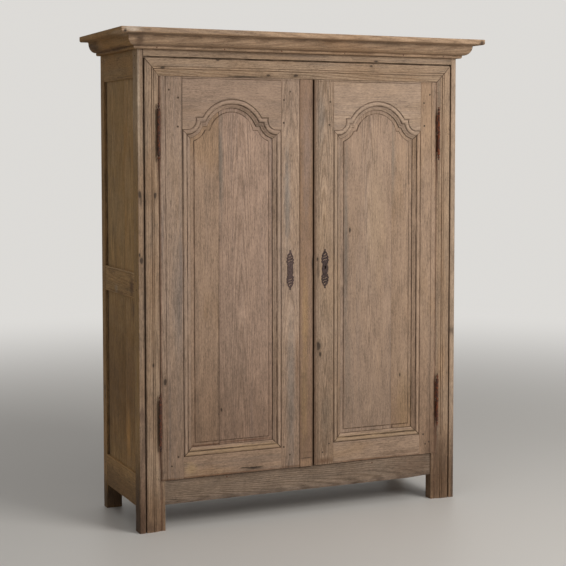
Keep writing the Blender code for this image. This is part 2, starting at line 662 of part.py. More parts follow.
def make_case():
    """Every fixed wooden piece of the case."""
    fronts, rears = {}, {}
    for side in (-1, 1):
        fronts[side], rears[side] = front_post(side), rear_post(side)
    top_rail, bottom_rail = front_top_rail(), apron()
    back_top = back_rail(SIDE_TOP_BOTTOM, CASE_HEIGHT, True, False)
    back_bottom = back_rail(SIDE_BOTTOM, SIDE_BOTTOM_TOP, False, True)
    tenon_front = REBATE_BACK - TENON_THICKNESS
    back_tenon = BACK_RAIL_Y + (BACK_RAIL_THICKNESS - TENON_THICKNESS) / 2
    floor_low = FLOOR_TOP - FLOOR_THICKNESS
    for side in (-1, 1):
        shoulder = HALF - POST_WIDTH
        for rail, low, high in ((top_rail, RAIL_BOTTOM, CASE_HEIGHT), (bottom_rail, APRON_BOTTOM, APRON_TOP)):
            tenon(rail, fronts[side],
                  (side * (shoulder - BURIED), tenon_front, low + 2 * TENON_SHOULDER),
                  (side * (shoulder + TENON_LENGTH), REBATE_BACK, high - 2 * TENON_SHOULDER))
        shoulder = HALF - REAR_POST_WIDTH
        for rail, low, high in ((back_top, SIDE_TOP_BOTTOM, CASE_HEIGHT),
                                (back_bottom, SIDE_BOTTOM, SIDE_BOTTOM_TOP)):
            tenon(rail, rears[side],
                  (side * (shoulder - BURIED), back_tenon, low + 2 * TENON_SHOULDER),
                  (side * (shoulder + TENON_LENGTH), back_tenon + TENON_THICKNESS,
                   high - 2 * TENON_SHOULDER))
        word = "left" if side < 0 else "right"
        levels = {"top": (SIDE_TOP_BOTTOM, CASE_HEIGHT, True, False),
                  "middle": (SIDE_MIDDLE_BOTTOM, SIDE_MIDDLE_TOP, True, True),
                  "bottom": (SIDE_BOTTOM, SIDE_BOTTOM_TOP, False, True)}
        for level, (low, high, groove_low, groove_high) in levels.items():
            rail = side_rail(side, low, high, groove_low, groove_high)
            tenon_top = high
            if level == "bottom":
                cut(rail, box(*grown((side * SIDE_INNER, POST_BACK, floor_low),
                                     (side * (SIDE_INNER + SIDE_GROOVE), REAR_POST_FRONT, FLOOR_TOP),
                                     FIT)))
                tenon_top = floor_low
            side_tenons(rail, side, fronts[side], rears[side], low, tenon_top)
            finish(rail, f"side_{level}_rail_{word}", "side_oak")
        finish(side_panel(side, SIDE_MIDDLE_TOP, SIDE_TOP_BOTTOM), f"side_panel_upper_{word}", "side_oak")
        finish(side_panel(side, SIDE_BOTTOM_TOP, SIDE_MIDDLE_BOTTOM), f"side_panel_lower_{word}",
               "side_oak")
        finish(cornice_return(side), f"cornice_return_{word}", "side_oak")
        for shelf, height in (("lower", LOWER_SHELF), ("upper", UPPER_SHELF)):
            cleat = box((side * (PANEL_INNER_X - FIT), POST_BACK + FIT, height - CLEAT_HEIGHT),
                        (side * (PANEL_INNER_X - CLEAT_THICKNESS), REAR_POST_FRONT - FIT, height))
            finish(cleat, f"cleat_{shelf}_{word}", "inner_oak")
    finish(cornice_front(), "cornice_front", "front_oak")
    finish(back_boards(), "back_boards", "back_oak")
    finish(back_top, "back_top_rail", "back_oak")
    finish(back_bottom, "back_bottom_rail", "back_oak")
    floor_reach = SIDE_INNER + SIDE_GROOVE - PANEL_PLAY
    finish(deck(floor_reach, POST_BACK + FIT, BACK_RAIL_Y - FIT, floor_low, FLOOR_TOP),
           "floor_boards", "inner_oak")
    roof_reach = HALF - CORNICE_SEAT - FIT
    finish(box((-roof_reach, FRONT + CORNICE_SEAT + FIT, CASE_HEIGHT + FIT),
               (roof_reach, BACK, CASE_HEIGHT + FIT + ROOF_THICKNESS)), "roof_boards", "back_oak")
    shelf_reach = PANEL_INNER_X - PANEL_PLAY
    for shelf, height in (("lower", LOWER_SHELF), ("middle", SIDE_MIDDLE_TOP), ("upper", UPPER_SHELF)):
        finish(deck(shelf_reach, FRONT + SHELF_FRONT, BACK_BOARD_Y - FIT, height + FIT,
                    height + FIT + SHELF_THICKNESS), f"shelf_{shelf}", "inner_oak")
    return fronts, rears, top_rail, bottom_rail


class Door:
    """Sizes of one door: which side it hangs on and where its panel frame lies."""

    def __init__(self, side, free_x, hinge_stile, free_stile, shoulder_flat):
        self.side = side
        self.edge = side * DOOR_EDGE
        self.free = free_x
        self.hinge_line = self.edge - side * hinge_stile
        self.free_line = self.free + side * free_stile
        self.middle = (self.hinge_line + self.free_line) / 2
        self.half = abs(self.hinge_line - self.free_line) / 2
        self.sill = DOOR_BOTTOM + BOTTOM_RAIL
        self.shoulder = DOOR_TOP - ARCH_TO_TOP - ARCH_RISE
        scallop_end = SCALLOP_INSET + math.sqrt(SCALLOP_RADIUS ** 2 - SCALLOP_DROP ** 2)
        half_span = self.half - scallop_end - shoulder_flat
        self.arch_radius = (half_span ** 2 + ARCH_RISE ** 2) / (2 * ARCH_RISE)
        self.arch_centre = self.shoulder + ARCH_RISE - self.arch_radius
        self.word = "left" if side < 0 else "right"

    def scallop(self, inset):
        """Half outline from the side corner over the scallop to the shoulder's inner end."""
        radius = SCALLOP_RADIUS + inset
        centre_x = self.half - SCALLOP_INSET
        shoulder = self.shoulder - inset
        centre_z = self.shoulder - SCALLOP_DROP
        side_x = self.half - inset
        level = max(0.0, side_x - centre_x)
        start = -math.pi / 2
        if side_x < centre_x:
            start = -math.pi + math.acos((centre_x - side_x) / radius)
        end = -math.pi - math.asin((shoulder - centre_z) / radius)
        length = level + radius * (start - end)
        points = []
        for i in range(SCALLOP_STEPS + 1):
            along = length * i / SCALLOP_STEPS
            if along < level:
                points.append((side_x - along, centre_z - radius))
            else:
                turn = start - (along - level) / radius
                points.append((centre_x + radius * math.cos(turn), centre_z + radius * math.sin(turn)))
        return points

    def outline(self, inset):
        """The whole panel outline, moved in from the moulding's outer line."""
        right = self.scallop(inset)
        radius = self.arch_radius - inset
        spring = math.degrees(math.asin((self.shoulder - inset - self.arch_centre) / radius))
        points = [(-(self.half - inset), self.sill + inset), (self.half - inset, self.sill + inset)]
        points += right
        points += arc((0.0, self.arch_centre), radius, spring, 180 - spring, ARCH_STEPS)
        points += [(-x, z) for x, z in reversed(right)]
        return [(self.middle + x, z) for x, z in points]


def door_moulding():
    """Section of the door moulding: inset from its outer line and depth behind the door's face."""
    groove_back = PANEL_GROOVE_FRONT + PANEL_THICKNESS + 2 * FIT
    back = DOOR_THICKNESS - MOULDING_BACK
    section = [(-BURIED, ROLL_QUIRK), (ROLL_START, ROLL_QUIRK)]
    for i in range(ROLL_STEPS + 1):
        t = i / ROLL_STEPS
        section.append((ROLL_START + (ROLL_END - ROLL_START) * t,
                        ROLL_FOOT - ROLL_RISE * math.sin(math.pi * t)))
    section.append((ROLL_END, ROLL_QUIRK))
    section += ogee(SIGHT_START, DOOR_MOULDING, ROLL_QUIRK, SIGHT_DROP, SIGHT_STEPS)
    section += [(DOOR_MOULDING, PANEL_GROOVE_FRONT), (DOOR_MOULDING - PANEL_GROOVE, PANEL_GROOVE_FRONT),
                (DOOR_MOULDING - PANEL_GROOVE, groove_back), (DOOR_MOULDING, groove_back),
                (DOOR_MOULDING, back), (-BURIED, back)]
    return section


def moulding_rings(door, first, last, is_rail):
    """Sections of the moulding along part of the outline; a rail's ends stop at its mitres."""
    section = door_moulding()
    outlines = [door.outline(inset) for inset, depth in section]
    count = len(outlines[0])
    rings = []
    for i in range(first, last + 1):
        ring = []
        for (inset, depth), outline in zip(section, outlines):
            x, z = outline[i % count]
            if is_rail and i in (first, last):
                reach = door.half - max(inset, 0.0) - FIT
                x = door.middle + math.copysign(reach, x - door.middle)
            ring.append((x, DOOR_Y + depth, z))
        rings.append(ring)
    return rings


def door_stile(door, at_hinge):
    """Door stile: an upright board with a scratched line, and the moulding on its inner edge."""
    inward = -door.side if at_hinge else door.side
    start, end = (door.edge, door.hinge_line) if at_hinge else (door.free, door.free_line)
    outline = [(start, DOOR_BACK)]
    if at_hinge or door.side > 0:
        line = start + inward * (STILE_LINE if at_hinge else MEETING_LINE)
        outline += [(start, DOOR_Y + DOOR_EASING), (start + inward * DOOR_EASING, DOOR_Y),
                    (line, DOOR_Y), (line, DOOR_Y + LINE_DEPTH),
                    (line + inward * LINE_WIDTH, DOOR_Y + LINE_DEPTH),
                    (line + inward * LINE_WIDTH, DOOR_Y)]
    else:
        seat = DOOR_Y + CLOSING_STRIP_THICKNESS - CLOSING_STRIP_PROUD + FIT
        edge = start + inward * (CLOSING_STRIP + FIT)
        outline += [(start, seat), (edge, seat), (edge, DOOR_Y)]
    outline += [(end, DOOR_Y), (end, DOOR_BACK)]
    stile = prism(outline, "Z", DOOR_BOTTOM, DOOR_TOP)
    last = len(door.outline(0.0))
    on_left = end < door.middle
    rings = moulding_rings(door, last - 1, last, False) if on_left else moulding_rings(door, 1, 2, False)
    return join(stile, loft(rings))


def door_top_rail(door):
    """Arched rail: a board cut to the outline, and the moulding bent round it."""
    outline = door.outline(0.0)[2:]
    reach = door.half - FIT
    ends = [(door.middle + reach, outline[0][1])], [(door.middle - reach, outline[-1][1])]
    board = ends[0] + outline[1:-1] + ends[1]
    board += [(door.middle - reach, DOOR_TOP), (door.middle + reach, DOOR_TOP)]
    rail = prism(board, "Y", DOOR_Y, DOOR_BACK)
    return join(rail, loft(moulding_rings(door, 2, len(outline) + 1, True)))


def door_bottom_rail(door):
    reach = door.half - FIT
    rail = box((door.middle - reach, DOOR_Y, DOOR_BOTTOM), (door.middle + reach, DOOR_BACK, door.sill))
    return join(rail, loft(moulding_rings(door, 0, 1, True)))


def door_panel(door, joint):
    """Raised panel: thin edges in the moulding's groove and a field that follows the arch."""
    front = DOOR_Y + PANEL_GROOVE_FRONT + FIT
    edge = DOOR_MOULDING - PANEL_GROOVE + PANEL_PLAY
    field = DOOR_MOULDING + PANEL_MARGIN
    levels = ((edge, front + PANEL_THICKNESS), (edge, front), (field, front),
              (field + FIELD_BEVEL, front - FIELD_RISE))
    rings = [[(x, y, z) for x, z in door.outline(inset)] for inset, y in levels]
    panel = loft(rings)
    return cut(panel, box((door.middle + joint, front - WIDE, DOOR_BOTTOM),
                          (door.middle + joint + LINE_WIDTH / 2, front - FIELD_RISE + LINE_DEPTH / 2,
                           DOOR_TOP)))


def closing_strip():
    """Flat strip let into the left door's free edge, lined off above its foot."""
    front = DOOR_Y - CLOSING_STRIP_PROUD
    left, right = MEETING_EDGE - CLOSING_STRIP, MEETING_EDGE
    rear = front + CLOSING_STRIP_THICKNESS
    radius = CLOSING_STRIP_ROUND
    outline = [(left, rear), (right, rear)]
    outline += arc((right - radius, front + radius), radius, 0, -90, CLOSING_STRIP_STEPS)
    outline += arc((left + radius, front + radius), radius, -90, -180, CLOSING_STRIP_STEPS)
    strip = prism(outline, "Z", DOOR_BOTTOM, DOOR_TOP)
    foot = DOOR_BOTTOM + CLOSING_STRIP
    return cut(strip, box((left - WIDE, front - WIDE, foot),
                          (right + WIDE, front + LINE_DEPTH, foot + LINE_WIDTH)))


def top_line(piece):
    """Scratch a line along the door's top edge."""
    high = DOOR_TOP - TOP_LINE
    return cut(piece, box((-HALF, DOOR_Y - WIDE, high - LINE_WIDTH), (HALF, DOOR_Y + LINE_DEPTH, high)))


def finial(end, direction):
    """Turned drop at the end of a knuckle: radius and height, from the knuckle outwards."""
    return [(radius * KNUCKLE_RADIUS, end + direction * height * FINIAL_LENGTH)
            for radius, height in FINIAL_SHAPE]


def hinge_halves(door, height, post, stile):
    """Lower half with the pin on the post, upper half with the bore on the door."""
    x = door.side * HINGE_X
    bore = PIN_RADIUS + FIT
    low, high = -HINGE_GAP / 2, HINGE_GAP / 2
    bore_end = PIN_LENGTH + PIN_END_PLAY
    lower = turned([(0.0, PIN_LENGTH), (PIN_RADIUS - PIN_CHAMFER, PIN_LENGTH),
                    (PIN_RADIUS, PIN_LENGTH - PIN_CHAMFER), (PIN_RADIUS, low), (KNUCKLE_RADIUS, low),
                    (KNUCKLE_RADIUS, -KNUCKLE_LENGTH)] + finial(-KNUCKLE_LENGTH, -1),
                   x, HINGE_Y, height)
    upper = turned(list(reversed(finial(KNUCKLE_LENGTH, 1)))
                   + [(KNUCKLE_RADIUS, KNUCKLE_LENGTH), (KNUCKLE_RADIUS, high), (bore, high),
                      (bore, bore_end), (0.0, bore_end)],
                   x, HINGE_Y, height)
    leaf_rear = DOOR_Y + LEAF_DEPTH
    wall = door.side * (HALF - MOULDING_END)
    lower_span = (height - KNUCKLE_LENGTH + LEAF_END, height - LEAF_END)
    upper_span = (height + LEAF_END, height + KNUCKLE_LENGTH - LEAF_END)
    for half, carrier, face, into, (bottom, top) in (
            (lower, post, wall, door.side, lower_span),
            (upper, stile, door.edge, -door.side, upper_span)):
        join(half, box((face, HINGE_Y, bottom), (face + into * LEAF_THICKNESS, leaf_rear, top)))
        cut(carrier, box((face - into * DOOR_GAP / 2, HINGE_Y, bottom - FIT),
                         (face + into * (LEAF_THICKNESS + FIT), leaf_rear + FIT, top + FIT)))
    return lower, upper


def escutcheon(x, z, with_keyhole):
    """Pierced iron plate: an oval middle with lobed scrolls above and below, narrow at its ends."""
    rear = DOOR_Y - FIT
    front = rear - ESCUTCHEON_THICKNESS
    half_width, tip = ESCUTCHEON_WIDTH / 2, ESCUTCHEON_TIP / 2
    edge = []
    for i in range(ESCUTCHEON_STEPS + 1):
        t = -1 + 2 * i / ESCUTCHEON_STEPS
        oval = tip + (half_width - tip) * (1 + math.cos(math.pi * t)) / 2
        lobes = LOBE_DEPTH * math.cos(ESCUTCHEON_LOBES * math.pi * t) * (1 - t * t)
        width = min(half_width, max(tip, oval - lobes))
        edge.append((width, z + t * ESCUTCHEON_HEIGHT / 2))
    outline = [(x + width, height) for width, height in edge]
    outline += [(x - width, height) for width, height in reversed(edge)]
    plate = prism(outline, "Y", front, rear)
    for direction in (-1, 1):
        centre = z + direction * WINDOW_OFFSET
        window = []
        for i in range(WINDOW_STEPS):
            turn = 2 * math.pi * i / WINDOW_STEPS
            window.append((x + WINDOW_WIDTH / 2 * math.cos(turn),
                           centre + WINDOW_HEIGHT / 2 * math.sin(turn)))
        cut(plate, prism(window, "Y", front - WIDE, rear + WIDE))
    if with_keyhole:
        cut(plate, keyhole(x, z))
    return plate


def keyhole(x, z):
    return box((x - KEYHOLE_WIDTH / 2, DOOR_Y - WIDE, z - KEYHOLE_HEIGHT / 2),
               (x + KEYHOLE_WIDTH / 2, DOOR_BACK + FIT, z + KEYHOLE_HEIGHT / 2))


def make_lock(left_axis, right_axis):
    """Rim lock on the right door, its bolt, and the keeper on the left door."""
    width, depth, height = LOCK_SIZE
    left = RIGHT_FREE + LOCK_EDGE
    front = DOOR_BACK + FIT
    low, high = LOCK_HEIGHT - height / 2, LOCK_HEIGHT + height / 2
    case = box((left, front, low), (left + width, front + depth, high))
    cut(case, box((left + LOCK_WALL, front - WIDE, low + LOCK_WALL),
                  (left + width - LOCK_WALL, front + depth - LOCK_WALL, high - LOCK_WALL)))
    length, thickness, bolt_height = LOCK_BOLT
    bolt_rear = front + depth - LOCK_WALL - FIT
    bolt_low = (left, bolt_rear - thickness, LOCK_HEIGHT - bolt_height / 2)
    bolt_high = (left + length, bolt_rear, LOCK_HEIGHT + bolt_height / 2)
    slot = grown(bolt_low, bolt_high, BOLT_PLAY)
    cut(case, box((left - WIDE, slot[0][1], slot[0][2]),
                  (left + 2 * LOCK_WALL, bolt_rear + FIT, slot[1][2])))
    slide = bpy.data.objects.new("lock_bolt_slide", None)
    slide.location = (left, (bolt_low[1] + bolt_high[1]) / 2, LOCK_HEIGHT)
    parts.objects.link(slide)
    finish(box(bolt_low, bolt_high), "lock_bolt", "worn_iron", slide)
    finish(case, "lock_case", "rusty_iron", right_axis)
    keeper_right = MEETING_EDGE - KEEPER_EDGE
    keeper_left = keeper_right - KEEPER_WIDTH
    keeper = box((keeper_left, front, LOCK_HEIGHT - KEEPER_HEIGHT / 2),
                 (keeper_right, bolt_rear + KEEPER_WALL, LOCK_HEIGHT + KEEPER_HEIGHT / 2))
    socket = grown(bolt_low, bolt_high, 2 * BOLT_PLAY)
    cut(keeper, box((keeper_left - WIDE, socket[0][1], socket[0][2]),
                    (keeper_right + WIDE, socket[1][1], socket[1][2])))
    finish(keeper, "lock_keeper", "rusty_iron", left_axis)


def make_door_bolt(end, direction, carrier, door_axis, word):
    """Slide bolt behind the left door: plate with two guides, the bolt, its socket in the frame."""
    x = MEETING_EDGE - DOOR_BOLT_INSET
    width, thickness, length = DOOR_BOLT
    plate_width, plate_thickness, plate_length = BOLT_PLATE
    front = DOOR_BACK + FIT
    bolt_front = DOOR_BACK + BOLT_STANDOFF
    tip = end - direction * BOLT_CLEARANCE
    bolt_low = (x - width / 2, bolt_front, tip)
    bolt_high = (x + width / 2, bolt_front + thickness, tip - direction * length)
    plate_end = tip - direction * BOLT_END
    plate_start = plate_end - direction * plate_length
    plate = box((x - plate_width / 2, front, plate_start),
                (x + plate_width / 2, front + plate_thickness, plate_end))
    guide_half = width / 2 + BOLT_PLAY + BOLT_GUIDE_WALL
    for start in (plate_start + direction * BOLT_CLEARANCE,
                  plate_end - direction * (BOLT_CLEARANCE + BOLT_GUIDE)):
        join(plate, box((x - guide_half, front + plate_thickness / 2, start),
                        (x + guide_half, bolt_front + thickness + BOLT_PLAY + BOLT_GUIDE_WALL,
                         start + direction * BOLT_GUIDE)))
    channel = grown(bolt_low, bolt_high, BOLT_PLAY)
    cut(plate, box((channel[0][0], channel[0][1], channel[0][2] - WIDE),
                   (channel[1][0], channel[1][1], channel[1][2] + WIDE)))
    bolt = box(bolt_low, bolt_high)
    knob_z = (plate_start + plate_end) / 2 - direction * DOOR_BOLT_THROW / 2
    join(bolt, box((x - BOLT_KNOB / 2, bolt_front + thickness / 2, knob_z - BOLT_KNOB / 2),
                   (x + BOLT_KNOB / 2, bolt_front + thickness + BOLT_KNOB_REACH,
                    knob_z + BOLT_KNOB / 2)))
    socket = grown(bolt_low, bolt_high, 2 * BOLT_PLAY)
    cut(carrier, box((socket[0][0], socket[0][1], end - direction * BOLT_CLEARANCE),
                     (socket[1][0], socket[1][1], end + direction * DOOR_BOLT_THROW)))
    slide = bpy.data.objects.new(word + "_bolt_slide", None)
    slide.location = (x, bolt_front + thickness / 2, tip)
    parts.objects.link(slide)
    finish(plate, word + "_bolt_plate", "rusty_iron", door_axis)
    finish(bolt, word + "_bolt", "worn_iron", slide)


def door_axis(side, word):
    """Empty on a door's hinge axis, which carries all that swings with the door."""
    axis = bpy.data.objects.new(word + "_door_axis", None)
    axis.location = (side * HINGE_X, HINGE_Y, DOOR_BOTTOM)
    parts.objects.link(axis)
    return axis


def door_tenons(door, rail, stiles, low, high):
    """Tenons of a door rail into both stiles."""
    front = DOOR_Y + (DOOR_THICKNESS - TENON_THICKNESS) / 2
    for direction, stile in stiles.items():
        shoulder = door.middle + direction * door.half
        tenon(rail, stile, (shoulder - direction * BURIED, front, low),
              (shoulder + direction * TENON_LENGTH, front + TENON_THICKNESS, high))


def make_door(door, axis, post, joint):
    """Frame, panel and hinges of one door."""
    hinge_stile, free_stile = door_stile(door, True), door_stile(door, False)
    top_rail, bottom_rail = door_top_rail(door), door_bottom_rail(door)
    stiles = {door.side: hinge_stile, -door.side: free_stile}
    corner = door.outline(0.0)[2][1]
    door_tenons(door, top_rail, stiles, corner + TENON_SHOULDER, DOOR_TOP - 2 * TENON_SHOULDER)
    door_tenons(door, bottom_rail, stiles, DOOR_BOTTOM + 2 * TENON_SHOULDER, door.sill - TENON_SHOULDER)
    for piece in (hinge_stile, free_stile, top_rail):
        top_line(piece)
    for height, place in ((DOOR_BOTTOM + HINGE_ABOVE_FOOT, "lower"), (DOOR_TOP - HINGE_BELOW_TOP, "upper")):
        lower, upper = hinge_halves(door, height, post, hinge_stile)
        finish(lower, f"{door.word}_{place}_hinge_pin_half", "rusty_iron")
        finish(upper, f"{door.word}_{place}_hinge_door_half", "rusty_iron", axis)
    if door.side > 0:
        cut(free_stile, keyhole(door.free + KEYHOLE_INSET, LOCK_HEIGHT))
    finish(hinge_stile, door.word + "_door_hinge_stile", "door_oak", axis)
    finish(free_stile, door.word + "_door_meeting_stile", "door_oak", axis)
    finish(top_rail, door.word + "_door_top_rail", "door_oak", axis)
    finish(bottom_rail, door.word + "_door_bottom_rail", "door_oak", axis)
    finish(door_panel(door, joint), door.word + "_door_panel", "door_oak", axis)


def make_cabinet():
    fronts, rears, top_rail, bottom_rail = make_case()
    left = Door(-1, MEETING_EDGE, LEFT_OUTER_STILE, LEFT_MEETING_STILE, LEFT_SHOULDER)
    right = Door(1, RIGHT_FREE, RIGHT_OUTER_STILE, RIGHT_MEETING_STILE, RIGHT_SHOULDER)
    left_axis, right_axis = door_axis(-1, "left"), door_axis(1, "right")
    make_door(left, left_axis, fronts[-1], LEFT_PANEL_JOINT)
    make_door(right, right_axis, fronts[1], RIGHT_PANEL_JOINT)
    finish(closing_strip(), "closing_strip", "door_oak", left_axis)
    finish(escutcheon(left.free - LEFT_ESCUTCHEON_INSET, LOCK_HEIGHT, False),
           "left_escutcheon", "worn_iron", left_axis)
    finish(escutcheon(right.free + KEYHOLE_INSET, LOCK_HEIGHT, True),
           "right_escutcheon", "worn_iron", right_axis)
    make_lock(left_axis, right_axis)
    make_door_bolt(RAIL_BOTTOM - STOP_LAP, 1, top_rail, left_axis, "upper")
    make_door_bolt(FLOOR_TOP, -1, bottom_rail, left_axis, "lower")
    for side, word in ((-1, "left"), (1, "right")):
        finish(fronts[side], "front_post_" + word, "front_oak")
        finish(rears[side], "rear_post_" + word, "side_oak")
    finish(top_rail, "front_top_rail", "front_oak")
    finish(bottom_rail, "front_bottom_rail", "front_oak")


make_cabinet()
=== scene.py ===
import json
from math import acos, asin, atan2, copysign, cos, degrees, pi, radians, sin, sqrt

import bmesh
import bpy
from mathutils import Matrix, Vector


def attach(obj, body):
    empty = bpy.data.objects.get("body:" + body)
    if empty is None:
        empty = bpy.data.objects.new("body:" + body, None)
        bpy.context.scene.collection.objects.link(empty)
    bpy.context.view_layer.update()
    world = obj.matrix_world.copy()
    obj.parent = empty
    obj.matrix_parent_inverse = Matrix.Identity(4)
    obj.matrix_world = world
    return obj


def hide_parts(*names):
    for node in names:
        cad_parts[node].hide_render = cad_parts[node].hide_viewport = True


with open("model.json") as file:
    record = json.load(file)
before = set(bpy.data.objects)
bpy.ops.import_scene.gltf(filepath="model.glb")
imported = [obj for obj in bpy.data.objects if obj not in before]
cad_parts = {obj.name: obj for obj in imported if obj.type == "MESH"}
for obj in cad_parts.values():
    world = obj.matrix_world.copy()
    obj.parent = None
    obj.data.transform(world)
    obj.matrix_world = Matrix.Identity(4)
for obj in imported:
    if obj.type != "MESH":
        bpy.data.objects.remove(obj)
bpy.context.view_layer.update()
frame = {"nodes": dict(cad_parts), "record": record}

case = {"half": 0.703, "front": -0.197, "back": 0.284, "height": 1.870, "top": 1.946,
        "postBack": -0.145, "rearFront": 0.239}
sides = (("left", -1), ("right", 1))
bodyOf = {node: body for body, nodes in frame["record"]["behaviour"]["bodies"].items() for node in nodes}
slotOf = {row["node"]: row["material_slot"] for row in frame["record"]["subparts"]}


# Node trees: a net adds nodes to one tree. Most of its functions give back the new node's output.
class Net:
    def __init__(self, tree):
        self.tree = tree

    def feed(self, socket, value):
        if isinstance(value, bpy.types.NodeSocket):
            self.tree.links.new(value, socket)
        elif socket.type == "RGBA" and len(value) == 3:
            socket.default_value = (*value, 1.0)
        else:
            socket.default_value = value

    def add(self, kind, inputs=(), output=0, **settings):
        node = self.tree.nodes.new(kind)
        for key, value in settings.items():
            setattr(node, key, value)
        for key, value in dict(inputs).items():
            self.feed(node.inputs[key], value)
        return node.outputs if output is None else node.outputs[output]

    def give(self, **values):
        for label, value in values.items():
            self.feed(self.out[label], value)

    def calc(self, operation, *values):
        return self.add("ShaderNodeMath", enumerate(values), operation=operation)

    def mul(self, first, second):
        return self.calc("MULTIPLY", first, second)

    def mulAdd(self, first, second, third):
        return self.calc("MULTIPLY_ADD", first, second, third)

    def centred(self, value):
        return self.calc("SUBTRACT", value, 0.5)

    def vector(self, operation, *values, output=0):
        return self.add("ShaderNodeVectorMath", enumerate(values), output, operation=operation)

    def scaled(self, vector, amount):
        return self.add("ShaderNodeVectorMath", {0: vector, "Scale": amount}, operation="SCALE")

    def length(self, vector):
        return self.vector("LENGTH", vector, output="Value")

    def apart(self, vector):
        return self.add("ShaderNodeSeparateXYZ", {0: vector}, None)

    def ramp(self, value, low, high, start=0.0, end=1.0):
        return self.add("ShaderNodeMapRange", {
            "Value": value, "From Min": low, "From Max": high, "To Min": start, "To Max": end,
        }, interpolation_type="SMOOTHSTEP")

    def blend(self, share, first, second, mode="MIX"):
        return self.add("ShaderNodeMix", {0: share, 6: first, 7: second}, 2, data_type="RGBA",
                        blend_type=mode)

    def speckle(self, place, across, along, detail=2.0, roughness=0.5, distortion=0.0):
        scaled = self.vector("MULTIPLY", place, (across, across, along))
        return self.add("ShaderNodeTexNoise", {"Vector": scaled, "Scale": 1.0, "Detail": detail,
                                               "Roughness": roughness, "Distortion": distortion})

    def group(self, tree, inputs):
        return self.add("ShaderNodeGroup", inputs, None, node_tree=tree)


def newGroup(name, inputs, outputs, kind="ShaderNodeTree"):
    # a label stands for a float, or for the kind after its colon
    net = Net(bpy.data.node_groups.new(name, kind))
    for way, labels in (("INPUT", inputs), ("OUTPUT", outputs)):
        for label in labels.split(", "):
            label, _, socketType = label.partition(":")
            net.tree.interface.new_socket(name=label, in_out=way,
                                          socket_type="NodeSocket" + (socketType or "Float"))
    net.given = net.tree.nodes.new("NodeGroupInput").outputs
    net.out = net.tree.nodes.new("NodeGroupOutput").inputs
    return net


# Oak: growth rings round a heart that leans, fibre, pores and broad streaks. The grain runs along Z.
figureMasks = "Rings, Fibre, Cords, Pores, Streaks, Patches, Flecks, Mottle, Blotches, Specks"
figureNoise = {"Fibre": (460.0, 10.0, 3.0, 0.65), "Cords": (135.0, 6.5, 4.0, 0.62, 0.3),
               "Streaks": (34.0, 0.85, 4.0, 0.60, 0.15), "Patches": (7.5, 1.9, 3.0, 0.55, 0.3),
               "Mottle": (230.0, 80.0, 3.0, 0.75), "Blotches": (24.0, 8.0, 3.0, 0.60, 0.4)}


def makeOakFigure():
    net = newGroup("oakFigure", "Position:Vector, Seed, Heart:Vector, Lean, Ring Width, Wander", figureMasks)
    given = net.given
    moved = net.vector("ADD", given["Position"], net.scaled((3.17, 5.31, 7.73), given["Seed"]))

    def noise(*values):
        return net.speckle(moved, *values)

    apart = net.apart(net.vector("SUBTRACT", given["Position"], given["Heart"]))
    across = net.mulAdd(net.centred(noise(4.0, 1.7)), given["Wander"], apart["X"])
    depth = net.mulAdd(apart["Z"], given["Lean"], apart["Y"])
    radius = net.calc("SQRT", net.calc("ADD", net.mul(across, across), net.mul(depth, depth)))
    ripple = net.centred(noise(42.0, 5.0, 3.0, 0.6))
    phase = net.mulAdd(ripple, 1.1, net.calc("DIVIDE", radius, given["Ring Width"]))
    net.give(Rings=net.ramp(net.calc("SINE", net.mul(phase, 2 * pi)), -0.4, 1.0),
             Pores=net.ramp(noise(950.0, 38.0, 1.0), 0.58, 0.70),
             Flecks=net.ramp(noise(300.0, 13.0, 2.0, 0.6), 0.56, 0.70),
             Specks=net.mul(net.ramp(noise(300.0, 210.0, 1.0), 0.66, 0.74),
                            net.ramp(noise(13.0, 7.0), 0.44, 0.62)),
             **{label: noise(*values) for label, values in figureNoise.items()})
    return net.tree


# Bleached and weathered wood: from the figure's masks to a colour, a height and a roughness.
def makeOldOakColour():
    net = newGroup("oldOakColour", figureMasks + ", Light:Color, Dark:Color, Grey:Color, Warm:Color, "
                   "Figure Strength, Grey Amount, Warm Amount, Speck Amount",
                   "Color:Color, Shade:Color, Height, Roughness")
    given = net.given
    cords = net.ramp(given["Cords"], 0.30, 0.70)
    figure = net.mul(given["Rings"], net.mulAdd(cords, 0.5, 0.5))
    colour = net.blend(net.mul(figure, given["Figure Strength"]), given["Light"], given["Dark"])
    for mask, low, high, label in (("Streaks", 0.50, 0.72, "Grey"), ("Patches", 0.48, 0.68, "Warm")):
        share = net.mul(net.ramp(given[mask], low, high), given[label + " Amount"])
        colour = net.blend(share, colour, given[label])
    shade = net.mulAdd(cords, 0.10, 1.00)
    for label, amount in (("Fibre", 1.05), ("Mottle", 1.20), ("Blotches", 0.80)):
        shade = net.mulAdd(net.centred(given[label]), amount, shade)
    shade = net.mulAdd(given["Flecks"], -0.18, net.mulAdd(given["Pores"], -0.34, shade))
    specks = net.mul(given["Specks"], given["Speck Amount"])
    shade = net.mul(shade, net.mulAdd(specks, -0.8, 1.0))
    tone = net.add("ShaderNodeCombineColor", {0: shade, 1: shade, 2: shade})
    height = net.mulAdd(given["Pores"], -0.6, net.mulAdd(given["Fibre"], 0.5, net.mul(cords, 0.4)))
    net.give(Color=net.blend(1.0, colour, tone, "MULTIPLY"), Shade=tone,
             Height=net.mulAdd(figure, -0.35, height), Roughness=net.mulAdd(cords, -0.10, 0.80))
    return net.tree


